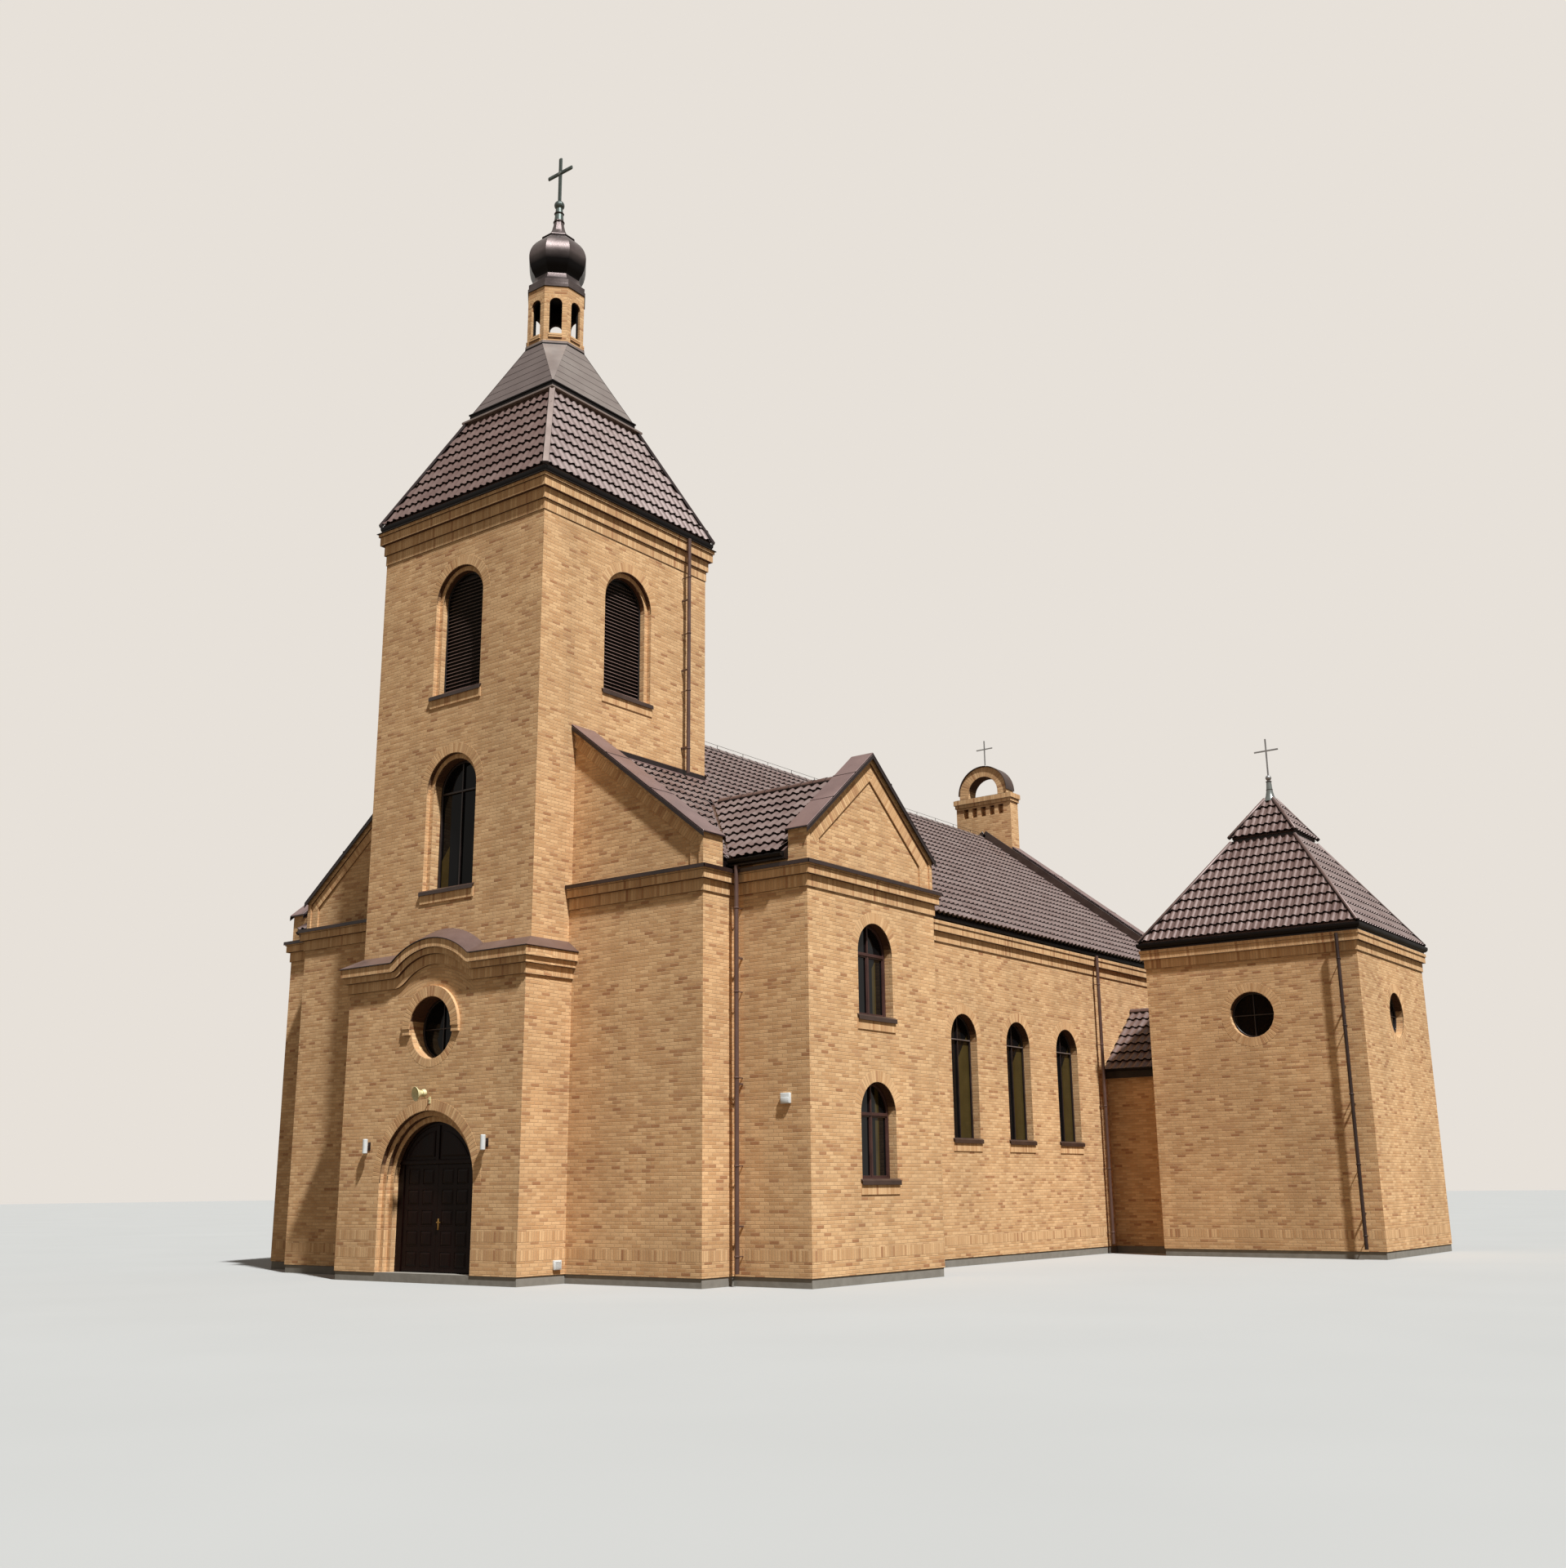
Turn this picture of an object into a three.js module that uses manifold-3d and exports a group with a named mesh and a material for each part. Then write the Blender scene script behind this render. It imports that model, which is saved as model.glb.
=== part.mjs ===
// A brick parish church with a square west tower, two gabled bays, a nave and a detached side tower.
// Millimetres, +Z up. The front faces -Y and +X is to the right of someone who looks at the front.
// The origin is on the ground under the middle of the main doorway: x = 0 is the axis of the tower
// and the nave, y = 0 is the front face of the tower shaft and z = 0 is the underside of the floor.

import * as THREE from 'three';
import { mergeVertices } from 'three/addons/utils/BufferGeometryUtils.js';
import { ConvexGeometry } from 'three/addons/geometries/ConvexGeometry.js';
import Module from 'manifold-3d';

const solids = await Module();
solids.setup();

// Driving dimensions of the whole building
const JOINT_GAP = 0.3;
const FLOOR_TOP = 200;
const PLINTH_SETBACK = 20;
const WALL = 500;
const HALF_BRICK = 120;
const ARC_STEPS = 12;

// Cutting blocks reach this far sideways and up, past every wall
const BEYOND = 10000;
const SKY = 20000;

// Brick bands of the cornices from the foot up, each with its height and how far it stands out
const PORCH_CORNICE = [{ height: 240, out: 45 }, { height: 150, out: 120 }, { height: 200, out: 180 }];
const EAVES_CORNICE = [{ height: 265, out: 30 }, { height: 185, out: 110 }, { height: 90, out: 135 }];
const TOWER_CORNICE = [
  { height: 270, out: 18 }, { height: 280, out: 60 }, { height: 235, out: 145 }, { height: 85, out: 180 },
];

// Main tower
const TOWER_HALF = 2910;
const TOWER_DEPTH = 6010;
const TOWER_TOP = 18690;
const TOWER_MIDDLE_Y = TOWER_DEPTH / 2;
const BELFRY_FLOOR_TOP = 13550;
const FLOOR_THICKNESS = 250;
const BELFRY_WINDOW = { half: 850, sill: 13800, crown: 17100 };
const TALL_WINDOW = { half: 880, sill: 8910, crown: 12240 };
const LOUVRE_DEPTH = 300;

// Porch stage at the foot of the tower
const PORCH_HALF = 3040;
const PORCH_FRONT = -260;
const PORCH_TOP = 7200;
const PORCH_REACH = 210;
const FLASHING_RISE = 280;
const FLASHING_SHEET = 20;
const EYEBROW = { halfSpan: 1370, rise: 470, flare: 100 };
const OCULUS = { radius: 713, height: 5620, hood: 900, hoodReach: 60 };
const OCULUS_GLASS_Y = 130;

// Main doorway
const PORTAL = { half: 1590, spring: 2160, orders: 3 };
const DOOR_FRAME = { front: 110, depth: 85 };
const LEAF = { width: 1146, thickness: 60, front: 135, bottom: 215, top: 2560 };
const LEAF_CLEARANCE = 6;
const LEAF_MEETING_GAP = 8;
const HINGE = { x: 1153, y: 206, radius: 9, knuckle: 70, plate: 50, sheet: 5, heights: [450, 1400, 2330] };
const PANEL = { columns: 2, rows: 5, stile: 130, rail: 90, sink: 14 };
const INNER_ARCH = { half: 1300, spring: 2400 };
const GALLERY_ARCH = { half: 1300, spring: 6300 };

// Nave and its roof
const NAVE_HALF = 6930;
const NAVE_FRONT = 1175;
const GABLE_WALL = 670;
const NAVE_END = 26250;
const ROOF_PITCH = 0.773;
const ROOF_RIDGE = 14400;
const ROOF_THICKNESS = 300;
const EAVE_X = 7150;
const EAVE_UNDERSIDE = 8750;
const PARAPET_RIDGE = 14880;
const CORNICE_TOP = 8745;
const CORNICE_REACH = 140;
const NAVE_WINDOW = { half: 665, sill: 3140, crown: 6400 };
const NAVE_WINDOWS_Y = [11940, 14875, 17810];
const GLASS_DEPTH = 250;
const GLASS = 20;

// Cross bays on both sides of the tower
const BAY_HALF = 8960;
const BAY_FRONT = 2205;
const BAY_BACK = 7280;
const BAY_MIDDLE_Y = (BAY_FRONT + BAY_BACK) / 2;
const BAY_PITCH = 0.8;
const BAY_RIDGE = 11170;
const BAY_PARAPET = { ridge: 11640, pitch: 0.83 };
const BAY_EAVE_Y = 2050;
const BAY_EAVE_UNDERSIDE = 8850;
const BAY_UPPER_WINDOW = { half: 685, sill: 5610, crown: 7700 };
const BAY_LOWER_WINDOW = { half: 685, sill: 2110, crown: 4200 };
const GALLERY_TOP = 4900;

// Sunk fields of the gables, one step inside the other: distance below the parapet, width of the strip
// that is left at the kneeler, and depth behind the wall's face
const FRONT_PANELS = [{ margin: 200, strip: 130, sink: 35 }, { margin: 500, strip: 400, sink: 70 }];
const BAY_PANELS = [{ margin: 200, strip: 120, sink: 35 }, { margin: 620, strip: 500, sink: 70 }];

// Link and side tower on the right
const LINK = { front: 20400, back: 24400, wall: 400, ridge: 7240, pitch: 0.85, eave: 20150 };
const PASSAGE = { half: 500, top: 2400 };
const SIDE_TOWER = { left: 9050, right: 15220, front: 19010, back: 25180, top: 8650 };
const SIDE_FASCIA = 220;
const SIDE_ROUND = { radius: 640, height: 6570 };
const SIDE_ROOF = { eave: 3180, step: 930, stepZ: 12010, cap: 960, capZ: 12160, apexZ: 13400 };

// Roof of the main tower, lantern and onion dome
const TOWER_EAVE = 130;
const TOWER_FASCIA = 180;
const TOWER_DRIP = { reach: 220, sheet: 12 };
const LOWER_ROOF = { half: 1577, top: 22050 };
const UPPER_ROOF = { half: 1550, bottom: 22320, octagon: 790, top: 24180 };
const ROOF_SHELL = 150;
const LANTERN = { apothem: 760, inner: 610, top: 25950, openHalf: 170, sill: 24510, crown: 25600 };

// Bell-cote on the end gable
const BELL_COTE = { half: 1150, front: 25720, back: 26280, cornice: 15700, ring: 16080 };
const BELL_RING = { outer: 1000, inner: 620, centre: 16250 };

// Drainpipes
const PIPE_RADIUS = 50;
const PIPE_STAND = 200;
const TOWER_PIPE_STAND = 240;
const PIPE_BOTTOM = 260;
const TOWER_PIPE_FOOT = 12260;

const brick = new THREE.MeshStandardMaterial({ color: 0xb98a58, roughness: 0.9, metalness: 0 });
const concrete = new THREE.MeshStandardMaterial({ color: 0x9b9892, roughness: 0.95, metalness: 0 });
const tile = new THREE.MeshStandardMaterial({ color: 0x4a3330, roughness: 0.45, metalness: 0 });
const sheetMetal = new THREE.MeshStandardMaterial({ color: 0x5b4038, roughness: 0.4, metalness: 0.6 });
const darkMetal = new THREE.MeshStandardMaterial({ color: 0x2c2724, roughness: 0.35, metalness: 0.7 });
const wood = new THREE.MeshStandardMaterial({ color: 0x3a2018, roughness: 0.55, metalness: 0 });
const glass = new THREE.MeshStandardMaterial({ color: 0x1a1f22, roughness: 0.08, metalness: 0 });
const castIron = new THREE.MeshStandardMaterial({ color: 0x4b4f50, roughness: 0.5, metalness: 0.8 });

// Turns a closed three.js geometry into a solid that can be joined and cut.
function solidFrom(geometry) {
  const bare = geometry.clone();
  bare.deleteAttribute('normal');
  bare.deleteAttribute('uv');
  const merged = mergeVertices(bare, 0.001);
  return new solids.Manifold(new solids.Mesh({
    numProp: 3,
    vertProperties: new Float32Array(merged.attributes.position.array),
    triVerts: new Uint32Array(merged.index.array),
  }));
}

// Turns a finished solid back into a mesh with a name and a material.
function meshFrom(name, solid, material) {
  const result = solid.getMesh();
  const geometry = new THREE.BufferGeometry();
  geometry.setAttribute('position', new THREE.BufferAttribute(new Float32Array(result.vertProperties), 3));
  geometry.setIndex(new THREE.BufferAttribute(new Uint32Array(result.triVerts), 1));
  geometry.computeVertexNormals();
  const mesh = new THREE.Mesh(geometry, material);
  mesh.name = name;
  return mesh;
}

// A block between two corners.
function block(x0, x1, y0, y1, z0, z1) {
  const geometry = new THREE.BoxGeometry(x1 - x0, y1 - y0, z1 - z0);
  geometry.translate((x0 + x1) / 2, (y0 + y1) / 2, (z0 + z1) / 2);
  return solidFrom(geometry);
}

function outline(points) {
  return new THREE.Shape(points.map(([a, b]) => new THREE.Vector2(a, b)));
}

function extruded(shape, depth) {
  return new THREE.ExtrudeGeometry(shape, { depth, bevelEnabled: false, curveSegments: ARC_STEPS });
}

// A prism whose outline is drawn in X and Z and which runs along Y.
function alongY(shape, y0, y1) {
  const geometry = extruded(shape, y1 - y0);
  geometry.rotateX(Math.PI / 2);
  geometry.translate(0, y1, 0);
  return solidFrom(geometry);
}

// A prism whose outline is drawn in Y and Z and which runs along X.
function alongX(shape, x0, x1) {
  const geometry = extruded(shape, x1 - x0);
  const turn = new THREE.Matrix4().makeBasis(
    new THREE.Vector3(0, 1, 0),
    new THREE.Vector3(0, 0, 1),
    new THREE.Vector3(1, 0, 0),
  );
  geometry.applyMatrix4(turn);
  geometry.translate(x0, 0, 0);
  return solidFrom(geometry);
}

// A round-headed window or door outline around a middle line.
function archShape({ half, sill, crown }, middle = 0, shrink = 0) {
  const reach = half - shrink;
  const spring = crown - half;
  const shape = new THREE.Shape();
  shape.moveTo(middle - reach, sill);
  shape.lineTo(middle + reach, sill);
  shape.lineTo(middle + reach, spring);
  shape.absarc(middle, spring, reach, 0, Math.PI, false);
  shape.closePath();
  return shape;
}

function circleShape(radius, a, b) {
  const shape = new THREE.Shape();
  shape.absarc(a, b, radius, 0, Math.PI * 2, false);
  return shape;
}

function mirrored(solid) {
  const result = solid.getMesh();
  const geometry = new THREE.BufferGeometry();
  geometry.setAttribute('position', new THREE.BufferAttribute(new Float32Array(result.vertProperties), 3));
  geometry.setIndex(new THREE.BufferAttribute(new Uint32Array(result.triVerts), 1));
  geometry.scale(-1, 1, 1);
  const index = geometry.index.array;
  for (let i = 0; i < index.length; i += 3) {
    [index[i], index[i + 1]] = [index[i + 1], index[i]];
  }
  return solidFrom(geometry);
}

function joined(parts) {
  return parts.reduce((sum, part) => sum.add(part));
}

function cutBy(solid, tools) {
  return tools.reduce((rest, tool) => rest.subtract(tool), solid);
}

// The brick bands of a cornice with the heights at which they start and end.
function placedBands(bands, top) {
  const total = bands.reduce((sum, band) => sum + band.height, 0);
  let z = top - total;
  return bands.map((band) => {
    const placed = { ...band, bottom: z, top: z + band.height };
    z += band.height;
    return placed;
  });
}

// Solid cornice plates all round a rectangular block; the block's hollow is cut afterwards.
function corniceRound(x0, x1, y0, y1, top, bands) {
  return joined(placedBands(bands, top).map(({ bottom, top: bandTop, out }) => (
    block(x0 - out, x1 + out, y0 - out, y1 + out, bottom, bandTop)
  )));
}

// Eyebrow line of the porch cornice: straight, a small flare, a round arch and the same again.
const EYEBROW_RADIUS = (() => {
  const { halfSpan, rise, flare } = EYEBROW;
  const lift = flare - rise;
  return (halfSpan ** 2 + lift ** 2 - flare ** 2) / (2 * (flare - lift));
})();

function eyebrowLine(drop, reachX) {
  const centre = new THREE.Vector2(0, PORCH_TOP + EYEBROW.rise - EYEBROW_RADIUS);
  const flareCentre = new THREE.Vector2(EYEBROW.halfSpan, PORCH_TOP + EYEBROW.flare);
  const lean = Math.atan2(flareCentre.y - centre.y, flareCentre.x);
  const right = [[reachX, PORCH_TOP - drop]];
  const flareSteps = 5;
  for (let i = 0; i <= flareSteps; i += 1) {
    const angle = -Math.PI / 2 + ((lean + Math.PI) - (3 * Math.PI) / 2) * (i / flareSteps);
    const radius = EYEBROW.flare + drop;
    right.push([flareCentre.x + radius * Math.cos(angle), flareCentre.y + radius * Math.sin(angle)]);
  }
  const arch = [];
  const archSteps = 18;
  for (let i = 1; i < archSteps; i += 1) {
    const angle = lean + (Math.PI - 2 * lean) * (i / archSteps);
    const radius = EYEBROW_RADIUS - drop;
    arch.push([centre.x + radius * Math.cos(angle), centre.y + radius * Math.sin(angle)]);
  }
  const left = right.map(([x, z]) => [-x, z]).reverse();
  return [...right, ...arch, ...left];
}

// Porch stage
function porchBody() {
  const stage = block(-PORCH_HALF, PORCH_HALF, PORCH_FRONT, NAVE_FRONT - JOINT_GAP, FLOOR_TOP, PORCH_TOP);
  const crest = eyebrowLine(0, EYEBROW.halfSpan + 1).concat([[0, PORCH_TOP - 900]]);
  const brow = alongY(outline(crest), PORCH_FRONT, -JOINT_GAP);
  const bands = placedBands(PORCH_CORNICE, PORCH_TOP).flatMap(({ bottom, top, out }) => {
    const reachX = PORCH_HALF + out;
    const upper = eyebrowLine(PORCH_TOP - top, reachX);
    const lower = eyebrowLine(PORCH_TOP - bottom, reachX).reverse();
    const front = alongY(outline([...upper, ...lower]), PORCH_FRONT - out, PORCH_FRONT + 20);
    const side = block(PORCH_HALF - 20, reachX, PORCH_FRONT - out, NAVE_FRONT - JOINT_GAP, bottom, top);
    return [front, side, mirrored(side)];
  });
  const hoodFront = PORCH_FRONT - OCULUS.hoodReach;
  const hoodRing = alongY(circleShape(OCULUS.hood, 0, OCULUS.height), hoodFront, PORCH_FRONT + 20)
    .intersect(block(-OCULUS.hood, OCULUS.hood, hoodFront, WALL, OCULUS.height, PORCH_TOP));
  const stopWidth = 200;
  const stop = block(OCULUS.hood - stopWidth + 20, OCULUS.hood + 60, hoodFront,
    PORCH_FRONT + 20, OCULUS.height - 130, OCULUS.height);
  return joined([stage, brow, hoodRing, stop, mirrored(stop), ...bands]);
}

// The stepped brick orders of the doorway, each half a brick narrower and deeper than the one before.
function portalCut() {
  const { half, spring, orders } = PORTAL;
  const cuts = [];
  for (let order = 0; order < orders; order += 1) {
    const reach = half - order * HALF_BRICK;
    const shape = archShape({ half: reach, sill: FLOOR_TOP - 50, crown: spring + reach });
    const last = order === orders - 1;
    const back = last ? WALL + 50 : PORCH_FRONT + (order + 1) * HALF_BRICK;
    cuts.push(alongY(shape, PORCH_FRONT - 100, back));
  }
  return joined(cuts);
}

const PORTAL_INNER = PORTAL.half - (PORTAL.orders - 1) * HALF_BRICK;

// A window with a half-brick outer recess and a narrower opening that goes through the wall.
function recessedWindowCut(window, makePrism, face, inward) {
  const recess = makePrism(archShape(window, window.middle ?? 0), face, inward, HALF_BRICK);
  const through = makePrism(archShape(window, window.middle ?? 0, HALF_BRICK), face, inward, WALL + 20);
  return recess.add(through);
}

function cutAlongY(shape, face, inward, depth) {
  const ends = [face - inward * 20, face + inward * depth];
  return alongY(shape, Math.min(...ends), Math.max(...ends));
}

function cutAlongX(shape, face, inward, depth) {
  const ends = [face - inward * 20, face + inward * depth];
  return alongX(shape, Math.min(...ends), Math.max(...ends));
}

function towerBody() {
  const shaft = block(-TOWER_HALF, TOWER_HALF, 0, TOWER_DEPTH, FLOOR_TOP + JOINT_GAP, TOWER_TOP);
  const cornice = corniceRound(-TOWER_HALF, TOWER_HALF, 0, TOWER_DEPTH, TOWER_TOP, TOWER_CORNICE);
  const hollow = block(-TOWER_HALF + WALL, TOWER_HALF - WALL, WALL, TOWER_DEPTH - WALL, 0, SKY);
  const belfry = { ...BELFRY_WINDOW };
  const belfrySide = { ...BELFRY_WINDOW, middle: TOWER_MIDDLE_Y };
  const innerArch = archShape({
    half: INNER_ARCH.half,
    sill: 0,
    crown: INNER_ARCH.spring + INNER_ARCH.half,
  });
  const galleryArch = archShape({
    half: GALLERY_ARCH.half,
    sill: GALLERY_TOP - FLOOR_THICKNESS,
    crown: GALLERY_ARCH.spring + GALLERY_ARCH.half,
  });
  const body = joined([shaft, porchBody(), cornice]);
  return cutBy(body, [
    hollow,
    portalCut(),
    alongY(circleShape(OCULUS.radius, 0, OCULUS.height), PORCH_FRONT - 200, WALL + 20),
    recessedWindowCut(belfry, cutAlongY, 0, 1),
    recessedWindowCut(belfry, cutAlongY, TOWER_DEPTH, -1),
    recessedWindowCut(belfrySide, cutAlongX, TOWER_HALF, -1),
    recessedWindowCut(belfrySide, cutAlongX, -TOWER_HALF, 1),
    recessedWindowCut(TALL_WINDOW, cutAlongY, 0, 1),
    alongY(innerArch, TOWER_DEPTH - WALL - 20, TOWER_DEPTH + 20),
    alongY(galleryArch, TOWER_DEPTH - WALL - 20, TOWER_DEPTH + 20),
  ]);
}

// Splits the tower into the walls that a mason would name.
function towerWalls() {
  const body = towerBody();
  const far = 4000;
  const base = FLOOR_TOP + JOINT_GAP;
  const frontTop = TOWER_TOP + 100;
  const pier = block(0, far, -far, WALL, base, PORTAL.spring);
  const archWall = block(-far, far, -far, WALL, PORTAL.spring + JOINT_GAP, PORCH_TOP)
    .add(block(-far, far, -far, -JOINT_GAP, PORCH_TOP - 10, PORCH_TOP + 1000));
  const side = block(0, far, WALL + JOINT_GAP, TOWER_DEPTH - WALL - JOINT_GAP, base, frontTop);
  const frontCell = block(-far, far, -JOINT_GAP / 2, WALL, PORCH_TOP + JOINT_GAP, frontTop)
    .add(block(-far, far, -far, WALL, PORCH_TOP + 2000, frontTop));
  return [
    meshFrom('porch_pier_right', body.intersect(pier), brick),
    meshFrom('porch_pier_left', body.intersect(mirrored(pier)), brick),
    meshFrom('porch_arch_wall', body.intersect(archWall), brick),
    meshFrom('tower_front_wall', body.intersect(frontCell), brick),
    meshFrom('tower_side_wall_right', body.intersect(side), brick),
    meshFrom('tower_side_wall_left', body.intersect(mirrored(side)), brick),
    meshFrom('tower_back_wall', body.intersect(
      block(-far, far, TOWER_DEPTH - WALL, far * 2, base, frontTop)), brick),
  ];
}

// Sloped sheet metal on the porch cornice, with hips at its corners and the eyebrow in its middle.
function porchFlashing() {
  const reachX = PORCH_HALF + PORCH_REACH;
  const frontY = PORCH_FRONT - PORCH_REACH;
  const base = JOINT_GAP;
  const line = eyebrowLine(0, reachX);
  const vertices = [];
  line.forEach(([x, z]) => {
    vertices.push(x, frontY, z + base);
    vertices.push(x, frontY, z + base + FLASHING_SHEET);
    vertices.push(x, -JOINT_GAP, z + base + FLASHING_RISE);
    vertices.push(x, -JOINT_GAP, z + base);
  });
  const faces = [];
  for (let i = 0; i < line.length - 1; i += 1) {
    for (let k = 0; k < 4; k += 1) {
      const a = i * 4 + k;
      const b = i * 4 + ((k + 1) % 4);
      faces.push(a, b, a + 4, b, b + 4, a + 4);
    }
  }
  const last = (line.length - 1) * 4;
  faces.push(0, 2, 1, 0, 3, 2);
  faces.push(last, last + 1, last + 2, last, last + 2, last + 3);
  const loft = new THREE.BufferGeometry();
  loft.setAttribute('position', new THREE.BufferAttribute(new Float32Array(vertices), 3));
  loft.setIndex(faces);
  const front = solidFrom(loft);
  const low = PORCH_TOP + base;
  const edge = low + FLASHING_SHEET;
  const high = low + FLASHING_RISE;
  const inner = TOWER_HALF + JOINT_GAP;
  const hipLimit = alongY(outline([
    [-reachX, low - 10], [reachX, low - 10], [reachX, edge], [inner, high],
    [inner, high + 2000], [-inner, high + 2000], [-inner, high], [-reachX, edge],
  ]), frontY - 10, NAVE_FRONT);
  const sideWedge = alongY(outline([[inner, low], [reachX, low], [reachX, edge], [inner, high]]),
    frontY, NAVE_FRONT - JOINT_GAP);
  const frontLimit = alongX(outline([
    [frontY, low - 10], [NAVE_FRONT, low - 10], [NAVE_FRONT, high + 10],
    [-JOINT_GAP, high], [frontY, edge],
  ]), -reachX - 10, reachX + 10);
  const side = sideWedge.intersect(frontLimit);
  return joined([front.intersect(hipLimit), side, mirrored(side)]);
}

// Doorway joinery. The butt hinges lie on the inner face, because the leaves open inwards; each has a
// lower knuckle on the frame and an upper one on the leaf, and the leaf rests on the lower one.
function hingeHalves(side, rise) {
  return joined(HINGE.heights.map((height) => {
    const z0 = height + rise;
    const z1 = z0 + HINGE.knuckle;
    const barrel = new THREE.CylinderGeometry(HINGE.radius, HINGE.radius, HINGE.knuckle, 16);
    barrel.rotateX(Math.PI / 2);
    barrel.translate(HINGE.x, HINGE.y, (z0 + z1) / 2);
    const back = LEAF.front + LEAF.thickness;
    const ends = [HINGE.x, HINGE.x + side * HINGE.plate];
    const plate = block(Math.min(...ends), Math.max(...ends), back - 1, back + HINGE.sheet, z0, z1);
    return solidFrom(barrel).add(plate);
  }));
}

function doorFrame() {
  const { front, depth } = DOOR_FRAME;
  const reach = PORTAL_INNER - JOINT_GAP;
  const shape = archShape({ half: reach, sill: FLOOR_TOP + JOINT_GAP, crown: PORTAL.spring + reach });
  const opening = LEAF_MEETING_GAP / 2 + LEAF.width + LEAF_CLEARANCE;
  const plate = alongY(shape, front, front + depth);
  const leafHole = block(-opening, opening, front - 10, front + depth + 10,
    0, LEAF.top + LEAF_CLEARANCE);
  const hinges = hingeHalves(1, -HINGE.knuckle);
  return joined([plate.subtract(leafHole), hinges, mirrored(hinges)]);
}

function doorLeaf(withHandle) {
  const x0 = LEAF_MEETING_GAP / 2;
  const x1 = x0 + LEAF.width;
  const slab = block(x0, x1, LEAF.front, LEAF.front + LEAF.thickness, LEAF.bottom, LEAF.top);
  const cellWidth = (LEAF.width - PANEL.stile * 2 + PANEL.rail) / PANEL.columns;
  const cellHeight = (LEAF.top - LEAF.bottom - PANEL.rail) / PANEL.rows;
  const sinks = [];
  for (let column = 0; column < PANEL.columns; column += 1) {
    for (let row = 0; row < PANEL.rows; row += 1) {
      const left = x0 + PANEL.stile + column * cellWidth;
      const bottom = LEAF.bottom + PANEL.rail + row * cellHeight;
      sinks.push(block(left, left + cellWidth - PANEL.rail, LEAF.front - 10, LEAF.front + PANEL.sink,
        bottom, bottom + cellHeight - PANEL.rail));
    }
  }
  const leaf = cutBy(slab, sinks).add(hingeHalves(-1, JOINT_GAP));
  if (!withHandle) return leaf;
  const plateX = x0 + PANEL.stile / 2;
  const plate = block(plateX - 22, plateX + 22, LEAF.front - 8, LEAF.front + 5, 1130, 1370);
  const neck = block(plateX - 9, plateX + 9, LEAF.front - 55, LEAF.front, 1281, 1299);
  const lever = block(plateX - 9, plateX + 120, LEAF.front - 62, LEAF.front - 44, 1281, 1299);
  return joined([leaf, plate, neck, lever]);
}

// Church body: nave block, cross bays, their gables and the panels in them
function naveRoofUnderside(grow) {
  const ridge = ROOF_RIDGE - ROOF_THICKNESS - grow;
  const lip = EAVE_UNDERSIDE - grow;
  const lipX = (ridge - lip) / ROOF_PITCH;
  return [[-EAVE_X - 500, lip], [-lipX, lip], [0, ridge], [lipX, lip], [EAVE_X + 500, lip]];
}

function bayRoofUnderside(grow) {
  const ridge = BAY_RIDGE - ROOF_THICKNESS - grow;
  const lip = BAY_EAVE_UNDERSIDE - grow;
  const lipY = (ridge - lip) / BAY_PITCH;
  return [
    [BAY_MIDDLE_Y - 4000, lip], [BAY_MIDDLE_Y - lipY, lip], [BAY_MIDDLE_Y, ridge],
    [BAY_MIDDLE_Y + lipY, lip], [BAY_MIDDLE_Y + 4000, lip],
  ];
}

function naveBlock() {
  const walls = block(-NAVE_HALF, NAVE_HALF, NAVE_FRONT, NAVE_END, FLOOR_TOP + JOINT_GAP, SKY);
  const reach = NAVE_HALF + 500;
  const shoulder = PARAPET_RIDGE - ROOF_PITCH * reach;
  const gableLine = alongY(outline([
    [-reach, 0], [reach, 0], [reach, shoulder], [0, PARAPET_RIDGE], [-reach, shoulder],
  ]), NAVE_FRONT - 500, NAVE_END + 500);
  const cornice = corniceRound(-NAVE_HALF, NAVE_HALF, NAVE_FRONT, NAVE_END, CORNICE_TOP, EAVES_CORNICE);
  return walls.intersect(gableLine).add(cornice);
}

// The room that the nave roof takes, from its underside up.
function naveRoofZone() {
  const zone = alongY(outline([
    ...naveRoofUnderside(JOINT_GAP), [EAVE_X + 500, SKY], [-EAVE_X - 500, SKY],
  ]), NAVE_FRONT + GABLE_WALL, NAVE_END - WALL);
  return zone.intersect(block(-NAVE_HALF - JOINT_GAP, NAVE_HALF + JOINT_GAP, 0, NAVE_END, 0, SKY));
}

function bayRoofZone() {
  const zone = alongX(outline([
    ...bayRoofUnderside(JOINT_GAP), [BAY_MIDDLE_Y + 4000, SKY], [BAY_MIDDLE_Y - 4000, SKY],
  ]), -BAY_HALF + WALL, BAY_HALF - WALL);
  return zone.intersect(block(-BEYOND, BEYOND, BAY_FRONT - 10, BAY_BACK + 10, 0, SKY));
}

function bayBlock() {
  const high = 13000;
  const walls = block(-BAY_HALF, BAY_HALF, BAY_FRONT, BAY_BACK, FLOOR_TOP + JOINT_GAP, high);
  const halfDepth = (BAY_BACK - BAY_FRONT) / 2 + 500;
  const low = BAY_PARAPET.ridge - BAY_PARAPET.pitch * halfDepth;
  const gableLine = alongX(outline([
    [BAY_MIDDLE_Y - halfDepth, 0], [BAY_MIDDLE_Y + halfDepth, 0], [BAY_MIDDLE_Y + halfDepth, low],
    [BAY_MIDDLE_Y, BAY_PARAPET.ridge], [BAY_MIDDLE_Y - halfDepth, low],
  ]), -BAY_HALF - 500, BAY_HALF + 500);
  const cornice = corniceRound(-BAY_HALF, BAY_HALF, BAY_FRONT, BAY_BACK, CORNICE_TOP, EAVES_CORNICE);
  return walls.intersect(gableLine).add(cornice);
}

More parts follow.
